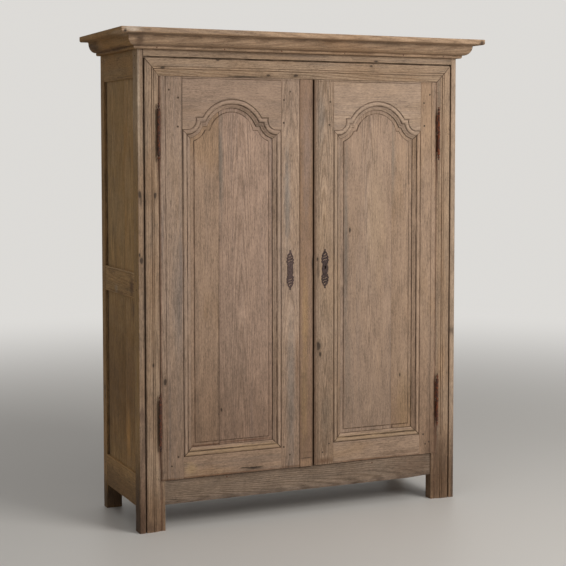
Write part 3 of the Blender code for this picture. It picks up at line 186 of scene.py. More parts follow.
# What handling and shading do: pale rubbed arrises, partly a painted highlight, and dark grime in the
# hollows, partly painted shade, both broken up.
def makeHandlingAndShading():
    net = newGroup("handling", "Color:Color, Wear, Position:Vector, Rubbed:Color, Grime:Color, Rub Amount, "
                   "Grime Amount", "Color:Color")
    given = net.given
    broken = net.speckle(given["Position"], 70.0, 14.0, 4.0, 0.6)
    rub = net.mul(net.ramp(given["Wear"], 0.15, 0.9), net.ramp(broken, 0.38, 0.60))
    colour = net.blend(net.mul(rub, given["Rub Amount"]), given["Color"], given["Rubbed"])
    hollowShade = net.ramp(net.mul(given["Wear"], -1.0), 0.05, 0.85)
    soilAndShade = net.mul(hollowShade, net.ramp(broken, 0.34, 0.60, 0.30, 1.0))
    net.give(Color=net.blend(net.mul(soilAndShade, given["Grime Amount"]), colour, given["Grime"]))
    return net.tree


# A knot or a nail hole: a dark core and rings round it that fade.
def makeKnot():
    net = newGroup("knot", "Position:Vector, Centre:Vector, Radius", "Core, Halo")
    given = net.given
    away = net.vector("SUBTRACT", given["Position"], given["Centre"])
    uneven = net.centred(net.speckle(given["Position"], 90.0, 45.0))
    distance = net.length(net.vector("MULTIPLY", away, (1.0, 0.0, 0.5)))
    share = net.mulAdd(uneven, 0.9, net.calc("DIVIDE", distance, given["Radius"]))
    rings = net.mulAdd(net.calc("SINE", net.mul(share, 7.0)), 0.35, 0.5)
    net.give(Core=net.ramp(share, 1.05, 0.55), Halo=net.mul(rings, net.ramp(share, 3.2, 0.8)))
    return net.tree


# A shake or crack along the grain between two heights.
def makeShake():
    net = newGroup("shake", "Position:Vector, Start:Vector, Length, Width", "Crack")
    given = net.given
    apart = net.apart(net.vector("SUBTRACT", given["Position"], given["Start"]))
    bend = net.centred(net.speckle(given["Position"], 0.0, 9.0, 3.0))
    across = net.calc("ABSOLUTE", net.mulAdd(bend, 0.016, apart["X"]))
    along = net.calc("DIVIDE", apart["Z"], given["Length"])
    inside = net.mul(net.ramp(along, 0.0, 0.15), net.ramp(along, 1.0, 0.8))
    line = net.ramp(net.calc("DIVIDE", across, given["Width"]), 1.0, 0.3)
    net.give(Crack=net.mul(line, inside))
    return net.tree


# A soft spot of another colour, with an uneven edge, through which the grain still shows.
def makeStain():
    net = newGroup("stain", "Position:Vector, Centre:Vector, Narrowness:Vector, Raggedness, Color:Color, "
                   "Stain:Color, Shade:Color, Amount", "Color:Color")
    given = net.given
    away = net.vector("SUBTRACT", given["Position"], given["Centre"])
    share = net.length(net.vector("MULTIPLY", away, given["Narrowness"]))
    uneven = net.centred(net.speckle(given["Position"], 110.0, 22.0, 5.0, 0.7))
    share = net.mulAdd(uneven, net.mul(given["Raggedness"], 2.4), share)
    mask = net.mul(net.ramp(share, 1.30, 0.10), given["Amount"])
    shaded = net.blend(1.0, given["Stain"], given["Shade"], "MULTIPLY")
    net.give(Color=net.blend(mask, given["Color"], shaded))
    return net.tree


oakFigure, oldOakColour, handling = makeOakFigure(), makeOldOakColour(), makeHandlingAndShading()
knotGroup, shakeGroup, stainGroup = makeKnot(), makeShake(), makeStain()

oakTones = {  # light, dark, grey, warm
    "front": ((0.355, 0.248, 0.165), (0.180, 0.114, 0.068), (0.215, 0.168, 0.132), (0.300, 0.176, 0.090)),
    "door": ((0.375, 0.266, 0.190), (0.200, 0.132, 0.086), (0.235, 0.182, 0.150), (0.320, 0.208, 0.118)),
    # side: the left side's golden tone, partly less bleached wood and partly painted warm shade
    "side": ((0.390, 0.246, 0.112), (0.200, 0.116, 0.046), (0.240, 0.166, 0.088), (0.330, 0.172, 0.052)),
    "apron": ((0.285, 0.224, 0.175), (0.132, 0.096, 0.070), (0.190, 0.158, 0.132), (0.240, 0.160, 0.100)),
    "inner": ((0.260, 0.178, 0.112), (0.150, 0.096, 0.056), (0.180, 0.138, 0.100), (0.220, 0.130, 0.066)),
    "back": ((0.240, 0.170, 0.112), (0.125, 0.082, 0.050), (0.165, 0.128, 0.094), (0.200, 0.122, 0.064))}
# the grime colour darkens the hollows with grime and with painted shade
white, grimeAndShadeColour, coreColour = (1.0, 1.0, 1.0), (0.060, 0.031, 0.016), (0.035, 0.022, 0.015)
haloColour, crackColour = (0.13, 0.08, 0.045), (0.03, 0.02, 0.014)


def newFinish(name):
    material = bpy.data.materials.new(name)
    material.use_nodes = True
    net = Net(material.node_tree)
    return material, net, net.add("ShaderNodeTexCoord", output="Object")


def feedShader(net, height, strength, **values):
    shader = net.tree.nodes["Principled BSDF"].inputs
    bump = net.add("ShaderNodeBump", {"Strength": strength, "Distance": 0.0007, "Height": height})
    for label, value in {**values, "Normal": bump}.items():
        net.feed(shader[label.replace("_", " ")], value)
    return shader


def oakFinish(name, tone, seed, axes="xyz", heart=(0.32, -0.25, 0.0), lean=0.02, ringWidth=0.004,
              wander=0.02, figure=0.5, grey=0.5, warm=0.3, tint=white, knots=(), shakes=(),
              rub=0.75, grime=0.9, specks=0.35, stains=(), dimming=()):
    # axes: across the grain, out of the face, along the grain. Knots, shakes and stains start with their
    # place across and along it; a stain's radius of nought leaves that axis out, and depth may follow.
    material, net, place = newFinish(name)
    world = net.apart(place)
    position = net.add("ShaderNodeCombineXYZ", {i: world[axis.upper()] for i, axis in enumerate(axes)})
    masks = net.group(oakFigure, {"Position": position, "Seed": seed, "Heart": heart, "Lean": lean,
                                  "Ring Width": ringWidth, "Wander": wander})
    colours = {label: tuple(a * b for a, b in zip(colour, tint))
               for label, colour in zip(("Light", "Dark", "Grey", "Warm"), oakTones[tone])}
    wood = net.group(oldOakColour, {**dict(masks.items()), **colours, "Figure Strength": figure,
                                    "Grey Amount": grey, "Warm Amount": warm, "Speck Amount": specks})
    colour, height = wood["Color"], wood["Height"]
    for across, along, radius in knots:
        knot = net.group(knotGroup, {"Position": position, "Centre": (across, 0.0, along), "Radius": radius})
        colour = net.blend(net.mul(knot["Halo"], 0.45), colour, haloColour)
        colour = net.blend(net.mul(knot["Core"], 0.85), colour, coreColour)
        height = net.mulAdd(knot["Core"], -0.8, height)
    for across, along, length, width in shakes:
        crack = net.group(shakeGroup, {"Position": position, "Start": (across, 0.0, along), "Length": length,
                                       "Width": width})["Crack"]
        colour = net.blend(net.mul(crack, 0.85), colour, crackColour)
        height = net.mulAdd(crack, -1.2, height)
    for across, along, acrossRadius, alongRadius, stainColour, amount, *deep in stains:
        depth, deepRadius = deep or (0.0, 0.0)
        colour = net.group(stainGroup, {
            "Position": position, "Centre": (across, depth, along), "Color": colour, "Stain": stainColour,
            "Shade": wood["Shade"], "Amount": amount, "Raggedness": 0.7,
            "Narrowness": [1.0 / r if r else 0.0 for r in (acrossRadius, deepRadius, alongRadius)]})["Color"]
    for dimmed, start, end in dimming:  # painted shade: darker from one height to the other
        shade = net.blend(net.ramp(world["Z"], start, end), white, dimmed)
        colour = net.blend(1.0, colour, shade, "MULTIPLY")
    wear = net.add("ShaderNodeAttribute", output="Fac", attribute_name="wear")
    # rubbed arrises paler, partly a painted highlight; hollows darker with grime and painted shade
    handled = net.group(handling, {"Color": colour, "Wear": wear, "Position": position, "Rub Amount": rub,
                                   "Rubbed": [1.22 * c for c in colours["Light"]], "Grime": grimeAndShadeColour,
                                   "Grime Amount": grime})
    shader = feedShader(net, height, 0.55, Base_Color=handled["Color"], Roughness=wood["Roughness"])
    shader["Specular IOR Level"].default_value = 0.32
    return material


# Geometry nodes: each tree ends in Realize Instances and Set Material.
def newGeometry(name, inputs):
    net = newGroup(name, "Geometry:Geometry, Finish:Material, " + inputs, "Geometry:Geometry",
                   "GeometryNodeTree")
    net.place = net.add("GeometryNodeInputPosition")
    return net


def unevenness(net, perMetre, detail):
    return net.add("ShaderNodeTexNoise", {"Vector": net.place, "W": net.given["Seed"],
                                          "Scale": net.given[perMetre], "Detail": detail},
                   noise_dimensions="4D")


def shifted(net, geometry, offset):
    return net.add("GeometryNodeSetPosition", {"Geometry": geometry, "Offset": offset})


def closeGeometry(net, geometry):
    real = net.add("GeometryNodeRealizeInstances", {"Geometry": geometry})
    net.give(Geometry=net.add("GeometryNodeSetMaterial", {"Geometry": real, "Material": net.given["Finish"]}))
    return net.tree


# Rub each arris back by an uneven amount.
def makeWornArris():
    net = newGeometry("wornArris", "Depth, Patches Per Metre, Seed")
    wear, inward = (net.add("GeometryNodeInputNamedAttribute", {"Name": name}, data_type=kind)
                    for name, kind in (("wear", "FLOAT"), ("inward", "FLOAT_VECTOR")))
    amount = net.ramp(unevenness(net, "Patches Per Metre", 3.0), 0.42, 0.78)
    share = net.mul(net.calc("MAXIMUM", wear, 0.0), amount)
    push = net.scaled(inward, net.mul(share, net.given["Depth"]))
    return closeGeometry(net, shifted(net, net.given["Geometry"], push))


# A forged skin, dented inwards only, so that a piece never grows.
def makeForgedSkin():
    net = newGeometry("forgedSkin", "Depth, Dents Per Metre, Seed")
    dents = net.ramp(unevenness(net, "Dents Per Metre", 2.0), 0.30, 0.72, 0.0, -1.0)
    push = net.scaled(net.add("GeometryNodeInputNormal"), net.mul(dents, net.given["Depth"]))
    return closeGeometry(net, shifted(net, net.given["Geometry"], push))


# A low domed head with few sides on every point, each sized a little differently and turned.
def makeHeads():
    net = newGeometry("heads", "Radius, Proud, Sunk, Sides:Int, Facing:Vector, Seed:Int")
    given = net.given
    full = net.calc("ADD", given["Proud"], given["Sunk"])
    cone = net.add("GeometryNodeMeshCone", {
        "Vertices": given["Sides"], "Side Segments": 3, "Fill Segments": 3, "Radius Bottom": given["Radius"],
        "Radius Top": net.mul(given["Radius"], 0.86), "Depth": full}, "Mesh")
    apart = net.apart(net.place)
    squared = net.calc("ADD", net.mul(apart["X"], apart["X"]), net.mul(apart["Y"], apart["Y"]))
    share = net.calc("DIVIDE", net.calc("SQRT", squared), given["Radius"])
    isTop = net.calc("GREATER_THAN", apart["Z"], net.mul(full, 0.9))
    drop = net.mul(net.mul(net.mul(share, share), net.mul(given["Proud"], -0.6)), isTop)
    drop = net.add("ShaderNodeCombineXYZ", {2: net.calc("SUBTRACT", drop, given["Sunk"])})
    # the rim counts as a hollow: grime and painted shade round the head
    marked = net.add("GeometryNodeStoreNamedAttribute", {
        "Geometry": shifted(net, cone, drop), "Name": "wear",
        "Value": net.ramp(share, 0.45, 0.95, 0.2, -1.0)}, data_type="FLOAT", domain="POINT")
    turn = net.add("FunctionNodeRandomValue", {"Min": (-0.06, -0.06, 0.0), "Max": (0.06, 0.06, 6.28),
                                               "Seed": given["Seed"]}, data_type="FLOAT_VECTOR")
    size = net.add("FunctionNodeRandomValue", {2: 0.82, 3: 1.12, "Seed": given["Seed"]}, 1, data_type="FLOAT")
    points = net.add("GeometryNodeMeshToPoints", {"Mesh": given["Geometry"]})
    spread = net.add("GeometryNodeInstanceOnPoints", {"Points": points, "Instance": marked, "Scale": size,
                                                      "Rotation": given["Facing"]})
    return closeGeometry(net, net.add("GeometryNodeRotateInstances", {"Instances": spread, "Rotation": turn}))


wornArris, forgedSkin, heads = makeWornArris(), makeForgedSkin(), makeHeads()


def applied(obj):
    obj.update_tag()
    evaluated = obj.evaluated_get(bpy.context.evaluated_depsgraph_get())
    mesh = bpy.data.meshes.new_from_object(evaluated)
    obj.modifiers.clear()
    obj.data = mesh
    return obj


def runTree(obj, tree, values):
    modifier = obj.modifiers.new(tree.name, "NODES")
    modifier.node_group = tree
    for item in tree.interface.items_tree:
        if item.in_out == "INPUT" and item.name in values:
            value = values[item.name]
            modifier[item.identifier] = list(value) if isinstance(value, tuple) else value
    return applied(obj)


def newObject(name, mesh):
    obj = bpy.data.objects.new(name, mesh)
    bpy.context.scene.collection.objects.link(obj)
    return obj


# Sections: round their sharp corners, and note which points are arrises (1: rubbed, and a painted highlight)
# and hollows (-1: grime and painted shade).
def softened(points, radius=0.0009, spread=0.0022):
    ahead, behind = points[1:] + points[:1], points[-1:] + points[:-1]
    turnSign = copysign(1.0, sum(a[0] * b[1] - b[0] * a[1] for a, b in zip(points, ahead)))
    result = []
    for before, here, after in zip(behind, points, ahead):
        before, here, after = Vector(before), Vector(here), Vector(after)
        back, on = here - before, after - here
        if min(back.length, on.length) < 1e-7:
            continue
        turn = atan2(back.x * on.y - back.y * on.x, back.dot(on)) * turnSign
        inward = on.normalized() - back.normalized()
        inward = inward.normalized() if inward.length > 1e-6 else Vector((0.0, 0.0))
        if turn > radians(27):
            cut = min(radius, 0.42 * back.length, 0.42 * on.length)
            first, last = here - back.normalized() * cut, here + on.normalized() * cut
            for share, wear in ((0.0, 0.0), (0.33, 0.9), (0.67, 0.9), (1.0, 0.0)):
                point = first.lerp(here, share).lerp(here.lerp(last, share), share)
                result.append((point.x, point.y, wear, inward.x, inward.y))
        elif turn < radians(-27):
            first = here - back.normalized() * min(spread, 0.42 * back.length)
            last = here + on.normalized() * min(spread, 0.42 * on.length)
            result += [(p.x, p.y, wear, 0.0, 0.0) for p, wear in ((first, 0.0), (here, -1.0), (last, 0.0))]
        else:
            result.append((here.x, here.y, 0.0, inward.x, inward.y))
    return result


# mark the points that pass the test as hollows, for grime and painted shade
def soiledAndShaded(section, test, depth=-1.0):
    return [(u, v, depth, 0.0, 0.0) if test(u, v) else (u, v, *rest) for u, v, *rest in section]


def steps(start, end, pitch):
    count = max(1, round(abs(end - start) / pitch))
    return [start + (end - start) * i / count for i in range(count + 1)]


def bridge(bm, rings):
    for ring, following in zip(rings, rings[1:]):
        for i in range(len(ring)):
            j = (i + 1) % len(ring)
            bm.faces.new((ring[i], ring[j], following[j], following[i]))


def capped(bm, rings):
    bridge(bm, rings)
    bm.faces.new(list(reversed(rings[0])))
    bm.faces.new(rings[-1])


# Shells: each is a section carried along stations by a function that places its points.
def wearAndShadingLayers(bm):
    layers = bm.verts.layers
    return (layers.float.get("wear") or layers.float.new("wear"),
            layers.float_vector.get("inward") or layers.float_vector.new("inward"))


def addShell(bm, section, stations, place, soiledRows=()):
    wearAndShadingLayer, inwardLayer = wearAndShadingLayers(bm)
    rows = []
    for index, station in enumerate(stations):
        row = []
        for u, v, wear, inU, inV in section:
            wear = -1.0 if index in soiledRows or index - len(stations) in soiledRows else wear
            point = Vector(place(u, v, station))
            vert = bm.verts.new(point)
            vert[wearAndShadingLayer] = wear
            if wear > 0.0:
                inner = Vector(place(u + inU * 1e-4, v + inV * 1e-4, station))
                vert[inwardLayer] = (inner - point).normalized()
            row.append(vert)
        rows.append(row)
    capped(bm, rows)


def blockSection(width, height):
    (x0, x1), (z0, z1) = sorted(width), sorted(height)
    return [(x0, z0), (x1, z0), (x1, z1), (x0, z1)]


def blocks(bm, rows, radius=0.0012, pitch=0.05):
    # each row: low and high corner; the section stands square to the longest side
    for low, high in rows:
        sizes = [abs(b - a) for a, b in zip(low, high)]
        axis = sizes.index(max(sizes))
        first, second = [i for i in range(3) if i != axis]
        section = softened(blockSection((low[first], high[first]), (low[second], high[second])), radius)

        def place(u, v, s):
            point = [s, s, s]
            point[first], point[second] = u, v
            return point

        addShell(bm, section, steps(*sorted((low[axis], high[axis])), pitch), place)


# Rings of their own: each with one value for wear and shading, where a negative value also paints shade; a
# scratch cuts a line into the face they end in
def addRing(bm, points, wear):
    layer = wearAndShadingLayers(bm)[0]
    ring = [bm.verts.new(point) for point in points]
    for vert in ring:
        vert[layer] = wear
    return ring


def addScratch(bm, normal, distance, spread, depth, limit, wear):
    layer = wearAndShadingLayers(bm)[0]
    for offset, push in ((-spread, 0.0), (0.0, depth), (spread, 0.0)):
        made = bmesh.ops.bisect_plane(bm, geom=bm.verts[:] + bm.edges[:] + bm.faces[:],
                                      plane_co=[n * (distance + offset) for n in normal], plane_no=normal)
        for item in made["geom_cut"]:
            if isinstance(item, bmesh.types.BMVert) and item.co.y < limit:
                item.co.y += push
                item[layer] = wear if push else 0.0


def closeMesh(bm, name):
    bmesh.ops.recalc_face_normals(bm, faces=bm.faces)
    mesh = bpy.data.meshes.new(name)
    bm.to_mesh(mesh)
    bm.free()
    return mesh


def settle(obj, *nodes, body=None, slot=None, angle=24.0):
    obj.data.shade_smooth()
    obj.data.set_sharp_from_angle(angle=radians(angle))
    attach(obj, body or bodyOf[nodes[0]])
    if nodes:
        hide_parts(*nodes)
    slot or slotOf[nodes[0]]


def nameOf(node):
    first, *others = node.replace("_door", "").split("_")
    return first + "".join(word.capitalize() for word in others)


def filledObject(name, fill):
    bm = bmesh.new()
    fill(bm)
    return newObject(name, closeMesh(bm, name))


def wornPiece(name, fill, finish, depth=0.0008, patches=14.0, seed=0.0):
    return runTree(filledObject(name, fill), wornArris, {
        "Depth": depth, "Patches Per Metre": patches, "Seed": seed, "Finish": finish})


def makeWorn(node, fill, finish, **how):
    settle(wornPiece(nameOf(node), fill, finish, **how), node)


def carve(obj, low, high):
    def fill(bm):
        layer = bm.verts.layers.float.new("wear")
        bmesh.ops.create_cube(bm, size=1.0)
        for vert in bm.verts:
            vert.co = [a + (b - a) * (c + 0.5) for a, b, c in zip(low, high, vert.co)]
            # the cut faces count as hollows: grime and painted shade inside the socket or keyhole
            vert[layer] = -1.0

    cutter = filledObject("cutter", fill)
    modifier = obj.modifiers.new("carve", "BOOLEAN")
    modifier.object, modifier.operation, modifier.solver = cutter, "DIFFERENCE", "EXACT"
    applied(obj)
    bpy.data.objects.remove(cutter)


def joined(name, pieces):
    bm = bmesh.new()
    materials = []
    for piece in pieces:
        materials += [material for material in piece.data.materials if material not in materials]
        before = len(bm.faces)
        bm.from_mesh(piece.data)
        bm.faces.ensure_lookup_table()
        for face in bm.faces[before:]:
            face.material_index = materials.index(piece.data.materials[face.material_index])
        bpy.data.objects.remove(piece)
    mesh = bpy.data.meshes.new(name)
    bm.to_mesh(mesh)
    bm.free()
    for material in materials:
        mesh.materials.append(material)
    return newObject(name, mesh)


def ogee(start, end, top, foot, count):
    return [(start + (end - start) * i / count,
             top + (foot - top) * (1 - cos(pi * i / count)) / 2) for i in range(count + 1)]


def arc(centre, radius, start, end, count):
    turns = [radians(start + (end - start) * i / count) for i in range(count + 1)]
    return [(centre[0] + radius * cos(turn), centre[1] + radius * sin(turn)) for turn in turns]


# Wood
print("wood")
rust, tan, soot = (0.095, 0.034, 0.014), (0.350, 0.235, 0.120), (0.030, 0.019, 0.013)
# the groove colour is dark brown for grooves and joint lines, grime and partly painted shade; the near-black
# colour after it is a painted shadow for the side's shadow gap
groove, hollowShade = (0.060, 0.036, 0.022), (0.010, 0.006, 0.004)
# painted shade: posts darker towards the floor, doors darker towards the bottom and under the cornice
footPaintedShade = (((0.76, 0.70, 0.64), 0.26, 0.06),)
doorPaintedShade = (((0.77, 0.735, 0.70), 0.85, 0.36), ((0.90, 0.89, 0.88), 1.50, 1.68))
sideLow = (0, 0.52, 0, 0.42, (0.14, 0.068, 0.021), 0.7)
bleachedTop = (1.9475, 0, 0.0035, 0, (0.33, 0.24, 0.165), 0.95)
sillTan = (0.298, 0, 0.014, 0, tan, 0.55)
oakLooks = {
    "frontPostLeft": dict(tone="front", seed=1.3, heart=(-0.6, -0.32, 0.9), lean=0.012, figure=0.55, grey=0.6,
        warm=0.4, tint=(0.9, 0.885, 0.88), rub=0.7, specks=0.9, dimming=footPaintedShade,
        knots=((-0.694, 1.316, 0.008), (-0.632, 1.313, 0.007), (-0.69, 1.062, 0.008), (-0.697, 1.085, 0.004),
        (-0.645, 0.655, 0.004)), stains=((-0.6765, 0.93, 0.008, 6.0, groove, 0.75),
        (-0.6885, 0.2, 0.018, 0.45, (0.17, 0.105, 0.07), 0.7),
        (-0.692, 0.03, 0.024, 0.1, (0.085, 0.05, 0.032), 0.7),
        # the first stain on the next line colours the post's left side face golden like the side: partly
        # painted warm shade
        (-0.7045, 0, 0.004, 0, (0.3, 0.175, 0.062), 1.0), (-0.699, 1.7, 0.008, 0.3, (0.5, 0.4, 0.3), 0.5),
        (-0.612, 0.93, 0.007, 6.0, rust, 0.55), (-0.69, 1.29, 0.005, 0.03, soot, 0.7),
        (-0.66, 0.02, 0.06, 0.025, (0.12, 0.072, 0.045), 0.6),
        (-0.69, 0.47, 0.016, 0.03, (0.1, 0.06, 0.04), 0.6),
        (-0.695, 0.08, 0.018, 0.22, (0.13, 0.074, 0.045), 0.35), (-0.616, 1.44, 0.007, 0.06, rust, 0.8),
        # the last stain on the next line is near-black low on the post's outer arris: painted shade
        (-0.616, 0.31, 0.007, 0.06, rust, 0.7), (-0.7045, 0.05, 0.006, 0.3, (0.04, 0.022, 0.013), 0.9))),
    "frontPostRight": dict(tone="front", seed=2.1, heart=(0.52, -0.29, 0.9), lean=0.015, figure=0.55,
        grey=0.6, warm=0.4, tint=(1.03, 1.01, 1.0), rub=0.7, specks=0.9,
        dimming=(((0.66, 0.6, 0.53), 0.28, 0.06),), stains=((0.6765, 0.93, 0.005, 6.0, groove, 0.4),
        (0.692, 0.93, 0.012, 6.0, (0.38, 0.275, 0.195), 0.75),
        (0.7045, 0, 0.0035, 0, (0.24, 0.155, 0.078), 0.95), (0.612, 0.93, 0.006, 6.0, rust, 0.55),
        (0.64, 0.14, 0.08, 0.22, (0.14, 0.082, 0.049), 0.75),
        (0.698, 0.1, 0.012, 0.3, (0.08, 0.054, 0.04), 0.7), (0.685, 0.72, 0.02, 0.02, soot, 0.6),
        (0.616, 1.4, 0.008, 0.1, rust, 0.6), (0.616, 0.3, 0.01, 0.12, rust, 0.7))),
    "frontTopRail": dict(tone="front", seed=3.7, axes="zyx", heart=(1.72, -0.27, 0.0), lean=0.03,
        ringWidth=0.005, figure=0.75, grey=0.65, specks=0.9, knots=((1.8364, -0.3736, 0.005),
        (1.781, -0.156, 0.005), (1.782, -0.036, 0.007), (1.8485, 0.3206, 0.005), (1.801, -0.6, 0.006),
        (1.829, 0.3, 0.004)), stains=((1.774, -0.25, 0.005, 0.13, soot, 0.8),
        (1.862, -0.05, 0.008, 0.22, (0.09, 0.06, 0.045), 0.6),
        (1.862, -0.36, 0.012, 0.2, (0.125, 0.085, 0.06), 0.5))),
    "apron": dict(tone="apron", seed=4.4, axes="zyx", heart=(0.115, -0.225, 0.1), lean=0.055, ringWidth=0.006,
        wander=0.07, figure=0.9, tint=(0.84, 0.77, 0.7), specks=0.7,
        dimming=(((0.8, 0.8, 0.82), 0.125, 0.1),),
        stains=((0.15, 0.52, 0.07, 0.12, (0.155, 0.095, 0.06), 0.6),
        (0.19, -0.2, 0.012, 0.4, (0.1, 0.066, 0.044), 0.5))),
    "corniceFront": dict(tone="front", seed=9.4, axes="zyx", heart=(1.9, -0.4, 0.2), lean=0.05,
        ringWidth=0.007, figure=0.65, grey=0.55, warm=0.4, tint=(1.1, 1.05, 1.0), rub=0.9, specks=0.9,
        stains=((1.938, -0.745, 0.012, 0.04, (0.52, 0.42, 0.33), 0.9),
        (1.93, -0.775, 0.008, 0.007, soot, 0.95), (1.9, -0.705, 0.03, 0.02, (0.105, 0.06, 0.036), 0.75),
        (1.9, 0.25, 0.004, 0.5, (0.16, 0.1, 0.062), 0.3), (1.89, -0.4, 0.008, 0.2, (0.17, 0.11, 0.07), 0.4),
        (1.93, 0.775, 0.02, 0.012, soot, 0.8))),
    "leftReturn": dict(tone="side", seed=10.1, axes="zxy", figure=0.6, grey=0.35, warm=0.4,
        tint=(0.95, 0.86, 0.74), specks=0.9, stains=((1.9, 0.22, 0.03, 0.1, (0.085, 0.046, 0.022), 0.8),
        (1.925, -0.22, 0.012, 0.1, (0.46, 0.32, 0.2), 0.7),
        (1.88, -0.02, 0.01, 0.2, (0.1, 0.056, 0.028), 0.7), bleachedTop)),
    "rightReturn": dict(tone="front", seed=10.7, axes="zxy", figure=0.6, grey=0.4, warm=0.4,
        tint=(0.96, 0.91, 0.85), specks=0.8, stains=(bleachedTop,)),
    "backBoard": dict(tone="back", seed=11.3, figure=0.6, grey=0.6, warm=0.2),
    "roofBoard": dict(tone="back", seed=12.8, axes="zyx", grey=0.6, warm=0.2),
    "inner": dict(tone="inner", seed=13.5, axes="yzx", heart=(0.05, 0.4, 0.0), grey=0.4),
    "leftHingeStile": dict(tone="door", seed=14.2, heart=(-0.62, -0.25, 1.0), grey=0.75, warm=0.25,
        tint=(0.93, 0.92, 0.93), rub=0.8, specks=0.5, dimming=doorPaintedShade, knots=((-0.595, 0.586, 0.008),),
        stains=((-0.613, 0.93, 0.007, 6.0, rust, 0.7), (-0.613, 1.555, 0.01, 0.12, rust, 0.6),
        (-0.613, 0.428, 0.01, 0.13, rust, 0.6), (-0.5205, 1.6, 0.004, 0.5, groove, 0.7),
        (-0.58, 0.2, 0.06, 0.006, (0.17, 0.09, 0.048), 0.8),
        (-0.545, 0.9, 0.02, 0.3, (0.19, 0.155, 0.13), 0.45))),
    "leftMeetingStile": dict(tone="door", seed=15.6, heart=(-0.06, -0.27, 1.2), lean=0.035, warm=0.25,
        tint=(1.02, 1.01, 1.02), specks=0.5, dimming=doorPaintedShade,
        stains=((-0.075, 1.3, 0.016, 0.25, (0.225, 0.187, 0.157), 0.8),
        (-0.06, 0.5, 0.022, 0.36, (0.238, 0.198, 0.168), 0.7),
        (-0.03, 0.62, 0.012, 0.16, (0.2, 0.105, 0.055), 0.5),
        (-0.06, 0.203, 0.09, 0.006, (0.16, 0.085, 0.046), 0.7))),
    "leftTopRail": dict(tone="door", seed=16.1, axes="zyx", heart=(1.9, -0.26, -0.3), figure=0.3, grey=0.3,
        tint=(0.87, 0.845, 0.84), specks=0.15),
    "leftBottomRail": dict(tone="door", seed=17.9, axes="zyx", heart=(0.1, -0.26, -0.3), lean=0.03, warm=0.5,
        tint=(0.85, 0.8, 0.75), specks=0.5, shakes=((0.215, -0.29, 0.115, 0.0034),), stains=(sillTan,
        (0.2005, -0.36, 0.006, 0.3, (0.17, 0.085, 0.044), 0.85), (0.213, -0.225, 0.006, 0.03, soot, 0.85),
        (0.235, -0.49, 0.03, 0.03, tan, 0.6))),
    "leftBoard": dict(tone="door", seed=18.3, heart=(-0.62, -0.22, 1.0), figure=0.35, grey=0.2, warm=0.55,
        tint=(0.92, 0.87, 0.83), specks=0.25, dimming=doorPaintedShade,
        stains=((-0.4, 0.322, 0.2, 0.0035, (0.14, 0.06, 0.032), 0.85),
        (-0.3665, 0.6, 0.0035, 0.45, groove, 0.8))),
    "leftSecondBoard": dict(tone="door", seed=19.4, heart=(-0.27, -0.235, 1.1), lean=0.025, ringWidth=0.005,
        figure=0.6, grey=0.45, warm=0.12, tint=(0.95, 0.91, 0.93), specks=0.25, dimming=doorPaintedShade,
        knots=((-0.357, 0.457, 0.0038),), stains=((-0.357, 1.42, 0.014, 0.25, (0.172, 0.14, 0.112), 0.75),
        (-0.26, 0.326, 0.16, 0.004, (0.15, 0.066, 0.034), 0.8),
        (-0.3, 0.6, 0.06, 0.3, (0.25, 0.175, 0.128), 0.4))),
    "closingStrip": dict(tone="door", seed=20.5, heart=(0.2, -0.25, 1.0), figure=0.4, grey=0.25, warm=0.5,
        tint=(0.8, 0.72, 0.67), rub=0.7, specks=0.5, dimming=doorPaintedShade,
        stains=((0.004, 0.8, 0.018, 0.22, (0.38, 0.235, 0.11), 0.6),
        (0, 0.48, 0.018, 0.26, (0.36, 0.235, 0.12), 0.6),
        (0.01, 0.213, 0.045, 0.018, (0.42, 0.275, 0.17), 0.7), (0.01, 0.2325, 0.045, 0.0025, groove, 0.8),
        (0.01, 1.45, 0.024, 0.3, (0.235, 0.165, 0.13), 0.7),
        (0.037, 0.93, 0.006, 6.0, (0.11, 0.062, 0.034), 0.7), (0.037, 1.03, 0.006, 0.035, soot, 0.95))),
    "rightMeetingStile": dict(tone="door", seed=21.7, heart=(0.092, -0.232, 1.75), lean=0.045,
        ringWidth=0.005, figure=0.9, tint=(0.98, 0.97, 0.94), specks=0.6, dimming=doorPaintedShade,
        knots=((0.066, 0.69, 0.011), (0.072, 0.655, 0.006), (0.0598, 1.0435, 0.005)),
        # the first stain is near-black at the keyhole: a painted shadow in the hole
        stains=((0.0943, 1.009, 0.009, 0.014, (0.004, 0.003, 0.002), 1.0),
        (0.062, 1.0, 0.007, 0.045, (0.085, 0.055, 0.035), 0.8),
        (0.048, 0.93, 0.009, 6.0, (0.12, 0.064, 0.034), 0.75),
        (0.075, 1.62, 0.022, 0.12, (0.21, 0.175, 0.145), 0.6),
        (0.1, 0.4, 0.03, 0.12, (0.2, 0.155, 0.115), 0.5),
        (0.09, 0.212, 0.06, 0.016, (0.14, 0.07, 0.036), 0.7))),
    "rightHingeStile": dict(tone="door", seed=22.6, heart=(0.7, -0.26, 1.0), figure=0.4, grey=0.3, warm=0.4,
        tint=(0.99, 0.95, 0.91), specks=0.3, dimming=doorPaintedShade, stains=((0.613, 0.93, 0.006, 6.0, rust, 0.6),
        (0.613, 1.5, 0.009, 0.18, rust, 0.7), (0.613, 0.4, 0.009, 0.18, rust, 0.7),
        (0.6, 0.24, 0.045, 0.16, (0.175, 0.1, 0.058), 0.6))),
    "rightTopRail": dict(tone="door", seed=23.2, axes="zyx", heart=(1.6, -0.26, 0.4), figure=0.35, grey=0.3,
        specks=0.15),
    "rightBottomRail": dict(tone="door", seed=24.9, axes="zyx", heart=(0.35, -0.25, 0.4), warm=0.5,
        tint=(0.93, 0.9, 0.87), specks=0.4, stains=(sillTan,
        (0.2005, 0.33, 0.006, 0.26, (0.14, 0.068, 0.034), 0.75),
        (0.215, 0.45, 0.012, 0.12, (0.16, 0.095, 0.058), 0.5))),
